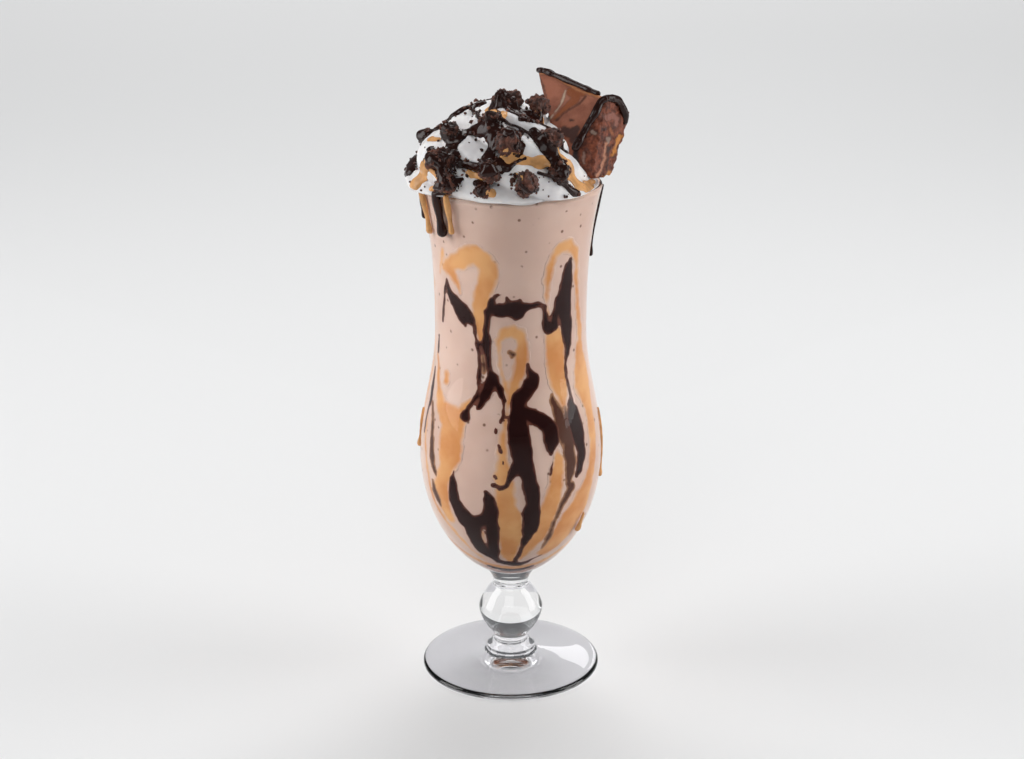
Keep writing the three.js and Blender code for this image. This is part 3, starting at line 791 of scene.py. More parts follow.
form = bmesh.new()
bmesh.ops.create_uvsphere(form, u_segments=CREAM_STEPS_AROUND, v_segments=CREAM_STEPS_DOWN, radius=1)
for vert in form.verts:
    x, y, z = vert.co
    around = math.degrees(math.atan2(y, x)) % 360
    down = math.degrees(math.acos(max(-1, min(1, z))))
    if down <= 90:
        spot = on_cream(around, down)
        fine = 0.35 * noise.noise(spot * 0.22) + 0.16 * noise.noise(spot * 0.6)
        fine += 0.05 * noise.noise(spot * 1.7)
        vert.co = on_cream(around, down, 1.2 * fine * smooth_step(90 - down, 0, 6)) * MM
    else:
        vert.co = cream_underside(around, (down - 90) / 90) * MM
bmesh.ops.recalc_face_normals(form, faces=form.faces)
cream_mesh = smooth_mesh("whipped_cream_swirl", form)

grain, given, result = effect_group(
    "grain", ("scale", "detail", "roughness", "strength", "distance"), "normal", "NodeSocketVector"
)
nodes, links = grain.nodes, grain.links
pattern = on_object(
    nodes, links, "ShaderNodeTexNoise", "Fac",
    Scale=given["scale"], Detail=given["detail"], Roughness=given["roughness"],
)
relief = nodes.new("ShaderNodeBump")
links.new(given["strength"], relief.inputs["Strength"])
links.new(given["distance"], relief.inputs["Distance"])
links.new(pattern, relief.inputs["Height"])
links.new(relief.outputs["Normal"], result)

cream_finish, nodes, links = new_material("whipped_cream")
body = nodes["Principled BSDF"]
# Grey patches of painted shade stand in for the light and shade over the cream's folds.
clouds = use_effect(nodes, soft_patches, scale=95, low=0.42, high=0.7, detail=3, roughness=0.5)
links.new(mixed(nodes, links, clouds, CREAM_PAINTED_SHADE, CREAM_COLOUR), body.inputs["Base Color"])
set_inputs(body, {
    "Roughness": 0.42, "Subsurface Weight": 0.25, "Subsurface Radius": (0.004, 0.0035, 0.003),
    "Subsurface Scale": 0.5,
})
fine_grain = use_effect(nodes, grain, scale=1400, detail=2, roughness=0.5, strength=0.25, distance=0.0002)
links.new(fine_grain, body.inputs["Normal"])
cream = add_piece("whipped_cream_swirl", cream_mesh, cream_finish)
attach(cream, "root")
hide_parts("whipped_cream")

# Brownie chunks. Torn pieces of dark brownie pressed into the cream, crumbly all over, with
# moist glints where the sugar shows.
CRUMB_COLOUR = (0.032, 0.0095, 0.006, 1)
CRUMB_PALE = (0.21, 0.068, 0.038, 1)
CRUMB_SIZE = 1.25
CRUMB_DEPTH = 0.95
CHUNK_CUTS = 3


def crumbly(form, crumb, depth):
    """Breaks a surface up into crumbs of about the given size, in millimetres."""
    form.normal_update()
    moves = []
    for vert in form.verts:
        spot = vert.co / MM
        near, _ = noise.voronoi(spot / crumb)
        crumbs = 0.45 - near[0]
        pits = noise.noise(spot * 0.35) * 1.5 + noise.noise(spot * 0.95) * 0.6
        pits += noise.noise(spot * 2.3) * 0.35
        moves.append(vert.normal * (depth * (crumbs * 0.9 + pits) * MM))
    for vert, move in zip(form.verts, moves):
        vert.co += move


def brownie_material(name, dark, pale, gloss):
    finish, nodes, links = new_material(name)
    body = nodes["Principled BSDF"]
    patches = use_effect(nodes, soft_patches, scale=420, low=0.42, high=0.68, detail=5, roughness=0.65)
    links.new(mixed(nodes, links, patches, pale, dark), body.inputs["Base Color"])
    wet = nodes.new("ShaderNodeMapRange")
    set_inputs(wet, {"To Min": 0.75, "To Max": gloss})
    glints = use_effect(nodes, soft_patches, scale=330, low=0.42, high=0.6, detail=2, roughness=0.5)
    links.new(glints, wet.inputs["Value"])
    links.new(wet.outputs["Result"], body.inputs["Roughness"])
    torn = use_effect(nodes, grain, scale=1500, detail=6, roughness=0.7, strength=0.8, distance=0.0004)
    links.new(torn, body.inputs["Normal"])
    return finish


chunk_finish = brownie_material("brownie_crumb", CRUMB_COLOUR, CRUMB_PALE, 0.28)
chunk_meshes = []
for node in sorted(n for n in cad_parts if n.startswith("brownie_chunk")):
    form = bmesh.new()
    form.from_mesh(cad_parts[node].data)
    bmesh.ops.remove_doubles(form, verts=form.verts, dist=1e-6)
    for _ in range(CHUNK_CUTS):
        bmesh.ops.subdivide_edges(form, edges=form.edges, cuts=1, use_grid_fill=True)
    crumbly(form, CRUMB_SIZE, CRUMB_DEPTH)
    chunk_mesh = smooth_mesh(node + "_crumb", form)
    chunk_meshes.append(chunk_mesh)
    chunk = add_piece(node + "_crumb", chunk_mesh, chunk_finish)
    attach(chunk, "root")
    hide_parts(node)

# Brownie wedge. A triangular slice cut from a baked sheet and tucked in behind the lip: its
# glazed top faces the front left, and its torn crumb shows on the side and the back. Each mark
# is a colour and its (across, up, half width) points, in millimetres as the camera sees them:
# smears of sauce, a painted highlight down the glaze and painted shade in two pits.
WEDGE_TOP_LEFT = Vector((11.8, 27.4, 239.8))
WEDGE_TOP_RIGHT = Vector((35.4, 4.2, 233.2))
WEDGE_TIP = Vector((20.4, 1.2, 209.0))
WEDGE_FRONT_TIP = Vector((20.2, -5.8, 210.6))
WEDGE_FRONT_TOE = Vector((30.5, -6.4, 206.8))
WEDGE_HEEL = Vector((37.6, 4.2, 205.4))
WEDGE_TOE = Vector((30.8, 1.4, 205.0))
WEDGE_THICKNESS = 16.5
WEDGE_ROUND = 1.2
WEDGE_VOXEL = 0.45
GLAZE_COLOUR = (0.235, 0.07, 0.036, 1)
GLAZE_PALE = (0.37, 0.125, 0.068, 1)
SIDE_COLOUR = (0.085, 0.019, 0.008, 1)
SIDE_PALE = (0.31, 0.085, 0.040, 1)
WEDGE_CORNER = ((205, 25.8), (212, 24.2), (218, 24.8), (235, 35.6), (245, 42))
WEDGE_SMEARS_AND_PAINTED_LIGHT = (
    ((0.26, 0.065, 0.015), ((22.6, 237.3, 1.7), (24.7, 236.2, 1.8), (24.2, 234.5, 1.7), (22.2, 232.8, 1.4),
                            (20.1, 230.7, 1.1), (18.3, 228.9, 0.9), (16.5, 227.1, 0.7))),
    ((0.26, 0.065, 0.015), ((26.1, 236.8, 1.1), (27.5, 236.5, 0.8))),
    ((0.09, 0.025, 0.010), ((28.1, 235.8, 0.4), (26.3, 233.5, 0.4), (24.1, 231.9, 0.4), (21.7, 230.6, 0.4),
                            (19.9, 229.2, 0.4), (18.7, 227.8, 0.4), (17.2, 226.6, 0.4))),
    ((0.09, 0.025, 0.010), ((10.5, 243.1, 0.4), (11.8, 240.7, 0.4), (12.9, 237.3, 0.4), (13.7, 233.8, 0.4),
                            (14.4, 230.3, 0.4))),
    # Painted shade: a small dark dot where a pit in the crumb lies in shade.
    ((0.05, 0.018, 0.012), ((22.6, 226.6, 0.5), (23.6, 226.6, 0.5))),
    # Painted highlight: a pale streak of sheen down the glaze.
    ((0.51, 0.36, 0.26), ((20.6, 237.9, 0.3), (20.0, 235.9, 0.5), (19.5, 234.2, 0.6), (18.8, 232.4, 0.4),
                          (17.5, 230.7, 0.4), (16.1, 228.9, 0.4), (15.0, 227.1, 0.5))),
    ((0.45, 0.17, 0.065), ((11.1, 244.3, 0.5), (14.2, 244.2, 0.5), (16.7, 242.9, 0.5), (19.8, 241.1, 0.5),
                           (23.3, 239.3, 0.6), (26.1, 237.8, 0.6), (29.6, 236.9, 0.7), (32.4, 236.0, 0.8),
                           (35.3, 235.0, 0.9))),
    ((0.07, 0.025, 0.018), ((20.4, 222.5, 1.8), (22.8, 221.5, 1.9), (24.9, 223.2, 1.4), (23.5, 219.0, 1.4))),
    ((0.30, 0.115, 0.08), ((36.9, 227.5, 1.4), (38.8, 228.6, 1.3), (40.2, 226.8, 1.0), (39.9, 224.7, 0.9))),
    ((0.30, 0.09, 0.03), ((37.7, 223.3, 0.8), (38.8, 221.1, 0.8))),
    # Painted shade: a small dark dot where a pit in the crumb lies in shade.
    ((0.04, 0.012, 0.01), ((35.1, 223.1, 0.6), (35.8, 223.3, 0.6))),
    ((0.30, 0.20, 0.155), ((31.0, 222.0, 1.0), (31.9, 221.5, 0.8))),
    ((0.30, 0.20, 0.155), ((37.2, 219.5, 0.8), (36.9, 217.9, 0.7))),
    ((0.30, 0.17, 0.13), ((27.8, 214.0, 0.6), (27.8, 212.2, 0.7), (27.8, 210.0, 0.6))),
    ((0.50, 0.22, 0.13), ((36.2, 217.6, 0.6), (36.0, 214.7, 0.6), (35.9, 212.2, 0.6), (35.3, 209.7, 0.7),
                          (34.3, 207.2, 0.7), (32.7, 205.2, 0.8))),
    ((0.58, 0.22, 0.045), ((41.6, 220.4, 0.9), (40.4, 217.9, 1.1), (39.9, 215.4, 0.9), (38.7, 212.9, 0.5))),
    ((0.60, 0.26, 0.08), ((38.0, 206.8, 0.7), (37.1, 205.0, 1.1), (35.0, 203.6, 1.0), (32.6, 201.8, 0.9),
                          (30.5, 201.0, 0.8))),
    ((0.02, 0.008, 0.008), ((25.0, 215.8, 1.1), (24.5, 212.9, 1.1), (25.4, 210.0, 0.9), (26.4, 207.9, 0.6))),
    ((0.05, 0.018, 0.012), ((37.1, 216.1, 0.4), (37.0, 212.6, 0.4), (36.5, 209.0, 0.4), (36.7, 207.2, 0.4))),
)


def remeshed(name, mesh, voxel, smoothing):
    """The same form with an even skin of small faces, all its overlaps joined."""
    rough = bpy.data.objects.new(name + "_rough", mesh)
    scene.collection.objects.link(rough)
    skin = rough.modifiers.new("skin", "REMESH")
    skin.mode = "VOXEL"
    skin.voxel_size = voxel * MM
    relax = rough.modifiers.new("relax", "SMOOTH")
    relax.factor = 0.5
    relax.iterations = smoothing
    seen = rough.evaluated_get(bpy.context.evaluated_depsgraph_get())
    result = bpy.data.meshes.new_from_object(seen)
    result.name = name
    bpy.data.objects.remove(rough)
    return result


wedge_face_normal = (WEDGE_TOP_RIGHT - WEDGE_TOP_LEFT).cross(WEDGE_TIP - WEDGE_TOP_LEFT).normalized()
if wedge_face_normal.y > 0:
    wedge_face_normal.negate()
wedge_back = -wedge_face_normal * WEDGE_THICKNESS
wedge_corners = [
    WEDGE_TOP_LEFT, WEDGE_TOP_RIGHT, WEDGE_TIP, WEDGE_TOP_LEFT + wedge_back, WEDGE_TOP_RIGHT + wedge_back,
    WEDGE_HEEL, WEDGE_TOE, WEDGE_FRONT_TIP, WEDGE_FRONT_TOE,
]
form = bmesh.new()
for corner in wedge_corners:
    bmesh.ops.create_icosphere(form, subdivisions=3, radius=WEDGE_ROUND * MM)
    for vert in form.verts[-162:]:
        vert.co += corner * MM
hull = bmesh.ops.convex_hull(form, input=form.verts)
spare = {g for g in hull["geom_interior"] if isinstance(g, bmesh.types.BMVert)}
bmesh.ops.delete(form, geom=list(spare), context="VERTS")
solid = smooth_mesh("wedge_solid", form)
wedge_skin = remeshed("brownie_wedge_slice", solid, WEDGE_VOXEL, 2)


def seen_flat(spots):
    """Where the points stand as seen from the camera, on the upright plane through the glass's middle."""
    eye = Vector(CAMERA_PLACE) / MM
    share = spots[:, 1] / (spots[:, 1] - eye.y)
    return spots[:, 0] + (eye.x - spots[:, 0]) * share, spots[:, 2] + (eye.z - spots[:, 2]) * share


def smears_and_painted_light(spots, facing):
    """Colour and cover of the smears, painted highlight and painted shade on the wedge's front, as the camera
    sees them.
    """
    across, up = seen_flat(spots)
    wobble = np.array([0.35 * noise.noise(Vector(p) * 0.7) + 0.2 * noise.noise(Vector(p) * 2) for p in spots])
    painted = np.zeros((len(spots), 4))
    for colour, line in WEDGE_SMEARS_AND_PAINTED_LIGHT:
        inside = np.full(len(spots), -1e3)
        for (ax, az, half), (bx, bz, next_half) in zip(line, line[1:]):
            dx, dz = bx - ax, bz - az
            way = np.clip(((across - ax) * dx + (up - az) * dz) / (dx * dx + dz * dz + 1e-9), 0, 1)
            reach = np.hypot(across - ax - way * dx, up - az - way * dz)
            inside = np.maximum(inside, half + way * (next_half - half) - reach)
        cover = np.clip((inside + wobble + 0.3) / 0.7, 0, 1) * facing
        painted[:, :3] += (np.array(colour) - painted[:, :3]) * cover[:, None]
        painted[:, 3] = np.maximum(painted[:, 3], cover)
    return painted


form = bmesh.new()
form.from_mesh(wedge_skin)
form.normal_update()
glazed = form.verts.layers.float.new("depth")
smears = form.verts.layers.float_color.new("smears")
spots = np.array([v.co for v in form.verts]) / MM
paint = smears_and_painted_light(spots, np.array([float(v.normal.y < 0.1) for v in form.verts]))
across, up = seen_flat(spots)
past_corner = np.clip((across - np.interp(up, *zip(*WEDGE_CORNER)) + 0.4) / 0.8, 0, 1)
moves = []
for vert in form.verts:
    spot = vert.co / MM
    behind = (spot - WEDGE_TOP_LEFT).dot(wedge_face_normal) * -1
    face = 1 - smooth_step(behind, 0.3, 1.8 + 1.2 * noise.noise(spot * 0.3))
    face *= 1 - past_corner[vert.index]
    near, _ = noise.voronoi(spot / 2.1)
    rough = 0.55 * (0.5 - near[0]) + 0.7 * noise.noise(spot * 0.33) + 0.35 * noise.noise(spot * 1.3)
    calm = 0.25 * noise.noise(spot * 0.16) + 0.06 * noise.noise(spot * 0.9)
    moves.append(vert.normal * ((face * calm + (1 - face) * rough - 0.1) * MM))
    vert[glazed] = face
    vert[smears] = paint[vert.index]
for vert, move in zip(form.verts, moves):
    vert.co += move
wedge_mesh = smooth_mesh("brownie_wedge_slice", form)

wedge_finish, nodes, links = new_material("brownie_wedge")
body = nodes["Principled BSDF"]
streaks = use_effect(nodes, soft_patches, scale=130, low=0.4, high=0.65, detail=4, roughness=0.6)
glaze = mixed(nodes, links, streaks, GLAZE_COLOUR, GLAZE_PALE)
patches = use_effect(nodes, soft_patches, scale=420, low=0.4, high=0.66, detail=5, roughness=0.65)
crumb = mixed(nodes, links, patches, SIDE_PALE, SIDE_COLOUR)
smear = nodes.new("ShaderNodeAttribute")
smear.attribute_name = "smears"
bare = mixed(nodes, links, depth_value(nodes), crumb, glaze)
smeared_colour = mixed(nodes, links, smear.outputs["Alpha"], bare, smear.outputs["Color"])
links.new(smeared_colour, body.inputs["Base Color"])
set_inputs(body, {"Roughness": 0.5, "Specular IOR Level": 0.3})
torn = use_effect(nodes, grain, scale=1300, detail=6, roughness=0.7, strength=0.5, distance=0.0003)
links.new(torn, body.inputs["Normal"])
wedge = add_piece("brownie_wedge_slice", wedge_mesh, wedge_finish)
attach(wedge, "root")
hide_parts("brownie_wedge")

# Chocolate sauce over the top. It was drizzled back and forth over the cream, the chunks and
# the wedge, hangs in strings from lump to lump and runs over the lip in a few heavy drops. Each
# pour is (degrees round, degrees down, half width), each outside run (angle, top, end, two radii).
CHOCOLATE_POURS = (
    ((218, 52, 1.8), (223, 56, 2.6), (228, 61, 2.4), (231, 66, 1.6)),
    ((275, 12, 1.5), (287, 17, 2.2), (298, 21, 2.2), (308, 25, 2.0), (316, 27, 1.5)),
    ((262, 16, 1.2), (270, 21, 1.5), (282, 24, 1.2)),
    ((252, 9, 1.3), (242, 13, 3.4), (232, 16, 3.0), (233, 18, 2.2)),
    ((158, 18, 1.3), (168, 22, 1.1), (175, 24, 1.1), (210, 24, 1.1), (246, 35, 1.1)),
    ((173, 26, 1.2), (176, 30, 1.8), (180, 35, 2.2), (178, 42, 2.1), (177, 47, 1.8), (177, 51, 1.6)),
    ((251, 34, 1.7), (258, 36, 2.0), (251, 38, 2.1), (242, 38, 2.0), (224, 39, 2.0), (224, 44, 2.2),
     (222, 47, 3.5), (219, 49, 3.5), (213, 51, 2.0)),
    ((176, 56, 2.0), (176, 59, 3.0), (175, 63, 2.0)),
    ((176, 64, 1.7), (179, 69, 2.0), (184, 74, 2.6), (193, 79, 2.8), (188, 84, 1.3)),
    ((205, 61, 1.7), (224, 68, 2.0), (228, 71, 2.1), (230, 67, 1.3), (226, 59, 1.2), (217, 56, 1.1)),
    ((231, 65, 1.2), (235, 65, 1.7), (244, 66, 2.0), (255, 69, 2.7), (260, 67, 3.2), (263, 62, 2.0),
     (268, 66, 1.7), (273, 62, 1.3), (280, 60, 1.1)),
    ((228, 70, 1.8), (229, 75, 1.8), (229, 81, 2.0), (225, 87, 2.2), (221, 92, 2.6), (219, 95, 2.4)),
    ((230, 41, 1.3), (244, 42, 1.8), (255, 42, 2.0), (261, 40, 2.0), (270, 46, 2.7), (278, 40, 2.0)),
    ((253, 46, 1.8), (256, 52, 1.8), (255, 59, 2.7), (253, 63, 2.4)),
    ((276, 48, 1.6), (278, 51, 1.7), (274, 57, 1.8)),
    ((282, 29, 1.1), (296, 29, 2.0), (318, 28, 2.0), (319, 34, 2.0), (308, 45, 2.0), (320, 49, 2.0),
     (317, 56, 2.0)),
    ((294, 38, 2.0), (293, 48, 2.1), (295, 54, 2.1), (300, 59, 2.7), (301, 64, 2.9), (301, 69, 2.7),
     (302, 73, 2.4), (300, 77, 1.8)),
    ((302, 78, 1.2), (307, 83, 1.7), (313, 88, 2.1), (314, 93, 1.8)),
    ((273, 71, 1.1), (274, 77, 1.2), (279, 82, 1.2), (285, 81, 1.3)),
    ((248, 77, 1.8), (254, 79, 2.1), (253, 84, 1.6)),
    ((230, 72, 1.7), (234, 78, 2.1), (236, 82, 1.8), (237, 76, 1.3)),
    ((52, 48, 1.0), (60, 55, 1.4), (80, 50, 1.0), (110, 62, 1.6), (140, 60, 1.0)),
    ((56, 80, 1.2), (66, 72, 1.0), (90, 80, 1.5), (120, 76, 1.2), (150, 82, 1.0)),
    ((60, 22, 0.9), (76, 30, 1.3), (110, 24, 1.0), (140, 34, 1.3), (160, 46, 0.8)),
    ((80, 52, 0.9), (84, 66, 1.2), (90, 80, 1.4), (95, 91, 1.3)),
    ((128, 66, 1.1), (134, 78, 1.3), (150, 72, 1.0), (160, 66, 0.9)),
)
CHOCOLATE_STRINGS = (
    (0.8, (176, 40), (190, 44), (206, 42), (222, 46)),
    (0.7, (250, 26), (262, 34), (276, 34), (290, 40)),
    (0.8, (287, 70), (296, 74), (303, 78)),
    (0.8, (100, 40), (112, 52), (128, 58)),
    (0.7, (60, 20), (75, 40), (70, 58)),
)
CHOCOLATE_OUTSIDE = (
    (219, 203.4, 188.5, 1.9, 2.7),
    (186, 197.5, 190.5, 1.0, 1.7),
    (3, 201, 174, 0.95, 1.4),
    (95, 198, 181, 1.0, 1.6),
)
CARAMEL_OUTSIDE = (
    (184, 112, 97, 0.6, 1.3),
    (356, 112, 84, 0.6, 1.2),
    (330, 73, 66, 0.7, 1.6),
    (199, 203.2, 186.5, 1.5, 1.9),
    (228, 203, 189.5, 1.4, 1.6),
)
WEDGE_STRINGS = (
    (1.5, (10.9, 28.2, 240.6), (13.3, 26.0, 240.6), (16.3, 22.8, 239.9), (19.8, 19.5, 239.0),
     (23.1, 16.2, 238.1), (26.5, 13.2, 237.2), (30.0, 9.8, 236.2), (33.0, 7.6, 235.2)),
    (2.0, (38.6, 6.6, 233.6), (36.6, 4.8, 234.0), (34.4, 3.6, 233.2), (33.2, 3.0, 231.2),
     (31.9, 2.5, 228.5), (30.1, 2.1, 225.8), (28.3, 1.6, 222.6), (26.6, 1.2, 219.4),
     (24.6, 0.6, 216.0)),
    (1.8, (38.2, 6.2, 233.8), (41.0, 9.6, 232.2), (42.6, 11.0, 229.3), (43.6, 11.9, 226.7),
     (43.9, 12.2, 223.6)),
)
SAUCE_VOXEL = 0.345
SAUCE_COLOUR = (0.026, 0.007, 0.0045, 1)
DOME_CELLS = (720, 190)
DOME_LENGTH = 57
DOME_ROUND = 34
POUR_THICK = 1.15
POUR_SUNK = 0.5
REACH_CELLS = (360, 98)
RAY_START = 70
OUTSIDE_STEPS = 24
SKIN_SMOOTHING = 3

toppings = tree_of(cream_mesh, *chunk_meshes)
wedge_tree = tree_of(wedge_mesh)
cream_middle = Vector((0, 0, CREAM_BASE))


def outwards(around, down):
    return (on_cream(around, down, 30) - cream_middle).normalized()


def eased(values, steps):
    """The values blurred a little over their neighbours, closed round the dome."""
    for _ in range(steps):
        values = (np.roll(values, 1, 0) + np.roll(values, -1, 0) + 2 * values) / 4
        edge = np.pad(values, ((0, 0), (1, 1)), mode="edge")
        values = (edge[:, :-2] + edge[:, 2:] + 2 * values) / 4
    return values


def measured_reach():
    """How far the toppings reach from the cream's middle, by degrees round and down."""
    reach = np.full(REACH_CELLS, CREAM_RADIUS)
    for around in range(REACH_CELLS[0]):
        for down in range(REACH_CELLS[1]):
            out = outwards(around, down)
            hit = toppings.ray_cast((cream_middle + out * RAY_START) * MM, -out)
            if hit[0] is not None:
                reach[around, down] = RAY_START - hit[3] / MM
    soft = eased(reach, 2)
    return np.maximum(soft, eased(reach, 12) - 0.2)


toppings_reach = measured_reach()


def reach_at(around, down):
    """The reach between its measured directions."""
    low, up = int(around // 1) % 360, min(int(down), REACH_CELLS[1] - 2)
    a, d = around % 1, min(down, REACH_CELLS[1] - 1) - up
    near = toppings_reach[low, up] * (1 - d) + toppings_reach[low, up + 1] * d
    far = toppings_reach[(low + 1) % 360, up] * (1 - d) + toppings_reach[(low + 1) % 360, up + 1] * d
    return near * (1 - a) + far * a


def poured(name, pours, thick, wobble):
    """Sauce that was poured over the toppings, as a closed skin that fills small gaps."""

    def on_toppings(around, along, depth):
        places = []
        for turn, way, inside in zip(around, along, depth):
            down = math.degrees(way / DOME_ROUND)
            out = outwards(turn, down)
            swell = thick * (1 + 0.35 * noise.noise(out * 9)) * math.sqrt(min(1, inside / 1.3))
            places.append(cream_middle + out * (reach_at(turn, down) + swell - 0.1))
        return places

    scaled = [[(a, math.radians(d) * DOME_ROUND, w) for a, d, w in run] for run in pours]
    sheet = cut_sheet(
        name, scaled, DOME_CELLS, DOME_LENGTH,
        lambda along: DOME_ROUND * np.maximum(np.sin(along / DOME_ROUND), 0.02), wobble, on_toppings,
    )
    form = bmesh.new()
    form.from_mesh(sheet)
    lower = bmesh.ops.extrude_face_region(form, geom=form.faces[:], use_keep_orig=True)
    for vert in (g for g in lower["geom"] if isinstance(g, bmesh.types.BMVert)):
        vert.co -= (vert.co - cream_middle * MM).normalized() * POUR_SUNK * MM
    bmesh.ops.recalc_face_normals(form, faces=form.faces)
    return smooth_mesh(name, form)


def draped(route, radius):
    """Points along a string of sauce that lies on the toppings and bridges their gaps."""
    turns = [Vector((route[0][0], route[0][1], 0))]
    for around, down in route[1:]:
        last = turns[-1].x
        turns.append(Vector((last + (around - last + 180) % 360 - 180, down, 0)))
    line = smooth_through(turns, 12)
    rays = [outwards(spot.x, spot.y) for spot in line]
    reach = [reach_at(spot.x, spot.y) for spot in line]
    bridged = []
    for k in range(len(reach)):
        near = reach[max(0, k - 5) : k + 6]
        bridged.append(max(reach[k], 0.35 * max(near) + 0.65 * sum(near) / len(near)))
    return [cream_middle + out * (far + 0.4 * radius) for out, far in zip(rays, bridged)]


def outside_run(angle, top, end, radius, drop):
    """A run down the outside of the glass as points with a radius, ending in a drop."""
    turn = math.radians(angle)
    points = []
    for k in range(OUTSIDE_STEPS + 1):
        share = k / OUTSIDE_STEPS
        height = top + (end - top) * share
        swell = math.exp(-(((height - end - 0.3 * drop) / (1.5 * drop)) ** 2))
        size = radius * (0.8 + 0.2 * math.sin(6 * share)) + (drop - radius) * swell
        away = bowl_radius(height) + 0.35 * radius
        points.append((Vector((away * math.cos(turn), away * math.sin(turn), height)), size))
    return points


def sauce_skin(name, sheet, tubes):
    """One skin over a poured sheet and tubes of sauce, each tube a list of (point, radius)."""
    form = bmesh.new()
    form.from_mesh(sheet)
    for tube in tubes:
        curve = bpy.data.curves.new(name, "CURVE")
        curve.dimensions = "3D"
        curve.bevel_depth = MM
        curve.bevel_resolution = 3
        curve.use_fill_caps = True
        line = curve.splines.new("POLY")
        line.points.add(len(tube) - 1)
        for point, (spot, size) in zip(line.points, tube):
            point.co = (*(spot * MM), 1)
            point.radius = size
        rope = bpy.data.objects.new(name, curve)
        scene.collection.objects.link(rope)
        seen = rope.evaluated_get(bpy.context.evaluated_depsgraph_get())
        form.from_mesh(seen.to_mesh())
        bpy.data.objects.remove(rope)
        for spot, size in (tube[0], tube[-1]):
            ball = bmesh.ops.create_icosphere(form, subdivisions=2, radius=size * MM)
            for vert in ball["verts"]:
                vert.co += spot * MM
    return remeshed(name, smooth_mesh(name + "_tubes", form), SAUCE_VOXEL, SKIN_SMOOTHING)


def string_tube(radius, *route):
    points = draped(route, radius)
    sizes = [radius * (0.85 + 0.3 * noise.noise(p * 0.25)) for p in points]
    return list(zip(points, sizes))


def wedge_string(points, size):
    """A string of sauce over the wedge, brought forward to lie on its face."""
    eye = Vector(CAMERA_PLACE)
    tube = []
    for spot in smooth_through(points, 6):
        ahead = (spot * MM - eye).normalized()
        hit = wedge_tree.ray_cast(eye, ahead)
        place = spot
        if hit[0] is not None and hit[3] < (spot * MM - eye).length:
            place = hit[0] / MM - ahead * 0.3 * size
        tube.append((place, size * (0.85 + 0.3 * noise.noise(spot * 0.3))))
    return tube


def sauce_material(name, colour, roughness):
    finish, nodes, links = new_material(name)
    body = nodes["Principled BSDF"]
    tone = use_effect(nodes, soft_patches, scale=200, low=0.4, high=0.65, detail=3, roughness=0.5)
    deeper = tuple(c * 0.7 for c in colour[:3]) + (1,)
    links.new(mixed(nodes, links, tone, deeper, colour), body.inputs["Base Color"])
    set_inputs(body, {"Roughness": roughness, "Specular IOR Level": 0.28})
    return finish


chocolate_tubes = [string_tube(*string) for string in CHOCOLATE_STRINGS]
chocolate_tubes += [outside_run(*run) for run in CHOCOLATE_OUTSIDE]
chocolate_tubes += [wedge_string(points, size) for size, *points in WEDGE_STRINGS]
chocolate_finish = sauce_material("chocolate_sauce", SAUCE_COLOUR, 0.13)
chocolate_sheet = poured("chocolate_sheet", CHOCOLATE_POURS, POUR_THICK, 0.5)
chocolate_sauce = add_piece(
    "chocolate_sauce", sauce_skin("chocolate_sauce", chocolate_sheet, chocolate_tubes), chocolate_finish
)
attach(chocolate_sauce, "root")

# Caramel sauce over the top. It was spooned between the chunks, lies in the hollows of the
# cream in thick patches and runs down the outside of the glass in thin trails.
CARAMEL_POURS = (
    ((215, 17, 1.2), (256, 30, 2.3), (260, 24, 1.7)),
    ((193, 56, 2.0), (197, 54, 1.4)),
    ((215, 67, 2.4), (210, 73, 2.9), (206, 83, 2.6), (202, 90, 2.4), (200, 95, 2.0)),
    ((219, 74, 1.4), (227, 81, 1.2), (217, 86, 1.2)),
    ((264, 61, 1.6), (268, 61, 3.2), (274, 60, 2.7), (281, 61, 1.7)),
    ((286, 62, 1.7), (290, 63, 3.0), (295, 64, 1.7)),
    ((302, 56, 1.3), (307, 61, 1.6), (304, 69, 1.8), (313, 76, 2.5), (314, 82, 2.2), (322, 85, 1.8),
     (332, 89, 1.8), (336, 94, 1.6)),
    ((290, 28, 1.0), (309, 24, 1.7), (323, 28, 1.2)),
    ((240, 70, 1.2), (245, 72, 1.7), (254, 73, 1.2)),
    ((256, 82, 1.3), (259, 84, 1.8)),
    ((231, 85, 1.3), (229, 90, 1.6), (228, 95, 1.6)),
    ((274, 71, 1.4), (275, 74, 1.2)),
    ((318, 82, 2.0), (326, 86, 2.8), (334, 88, 3.0), (342, 89, 2.8), (350, 90, 2.4), (358, 91, 1.6)),
    ((304, 60, 1.6), (311, 66, 2.0), (315, 73, 2.2), (318, 80, 2.0)),
    ((150, 26, 0.8), (158, 32, 1.2), (166, 38, 1.0)),
    ((50, 62, 1.3), (66, 57, 1.8), (86, 62, 1.2)),
    ((118, 48, 1.2), (134, 54, 1.9), (148, 50, 1.2), (152, 62, 0.9)),
    ((60, 84, 1.2), (72, 88, 1.6), (84, 86, 1.0)),
)
CARAMEL_TOP_COLOUR = (0.80, 0.41, 0.16, 1)

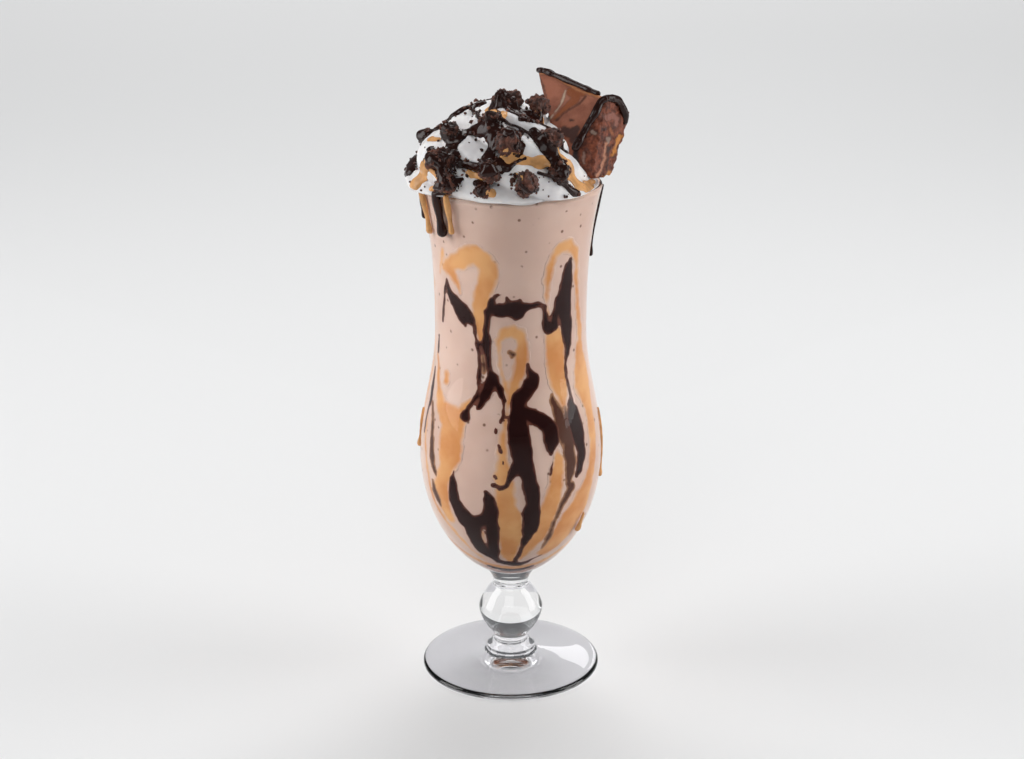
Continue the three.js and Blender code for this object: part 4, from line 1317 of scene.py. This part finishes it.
caramel_tubes = [outside_run(*run) for run in CARAMEL_OUTSIDE]
caramel_sheet = poured("caramel_sheet", CARAMEL_POURS, 0.75, 0.7)
caramel_finish = sauce_material("caramel_sauce", CARAMEL_TOP_COLOUR, 0.22)
caramel_sauce = add_piece(
    "caramel_sauce", sauce_skin("caramel_sauce", caramel_sheet, caramel_tubes), caramel_finish
)
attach(caramel_sauce, "root")

# Crumbs. Loose bits of brownie that fell on the cream and stuck to the sauce and the lip.
CRUMBS = 170
CRUMB_SEED = 41
CRUMB_EVERY = 1.5
CRUMB_STRAY = 1.9
LOOSE_SIZES = (0.25, 0.7)
STUCK_SIZES = (0.4, 1.25)
CRUMBS_LOWEST = 88

draw = random.Random(CRUMB_SEED)
falls = [
    (draw.uniform(0, 360), CRUMBS_LOWEST * math.sqrt(draw.random()), LOOSE_SIZES) for _ in range(CRUMBS)
]
for pour in CHOCOLATE_POURS:
    for (around, down, half), (next_around, next_down, _) in zip(pour, pour[1:]):
        turn = (next_around - around + 180) % 360 - 180
        level = DOME_ROUND * math.sin(math.radians(down))
        length = math.hypot(math.radians(turn) * level, math.radians(next_down - down) * DOME_ROUND)
        for _ in range(round(length / CRUMB_EVERY)):
            share = draw.random()
            stray = (half + CRUMB_STRAY) * draw.gauss(0, 0.55), (half + CRUMB_STRAY) * draw.gauss(0, 0.55)
            falls.append((
                (around + share * turn + math.degrees(stray[0] / max(level, 8))) % 360,
                abs(down + share * (next_down - down) + math.degrees(stray[1] / DOME_ROUND)), STUCK_SIZES,
            ))
form = bmesh.new()
for around, down, sizes in falls:
    out = outwards(around, min(down, CRUMBS_LOWEST))
    hit = toppings.ray_cast((cream_middle + out * RAY_START) * MM, -out)
    size = draw.uniform(sizes[0], sizes[0] + (sizes[1] - sizes[0]) * draw.random()) * MM
    bit = bmesh.ops.create_icosphere(form, subdivisions=1, radius=size)
    for vert in bit["verts"]:
        vert.co = vert.co * draw.uniform(0.65, 1.35) + hit[0] + out * size * 0.5
crumbs = add_piece("brownie_crumbs", smooth_mesh("brownie_crumbs", form), chunk_finish)
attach(crumbs, "root")
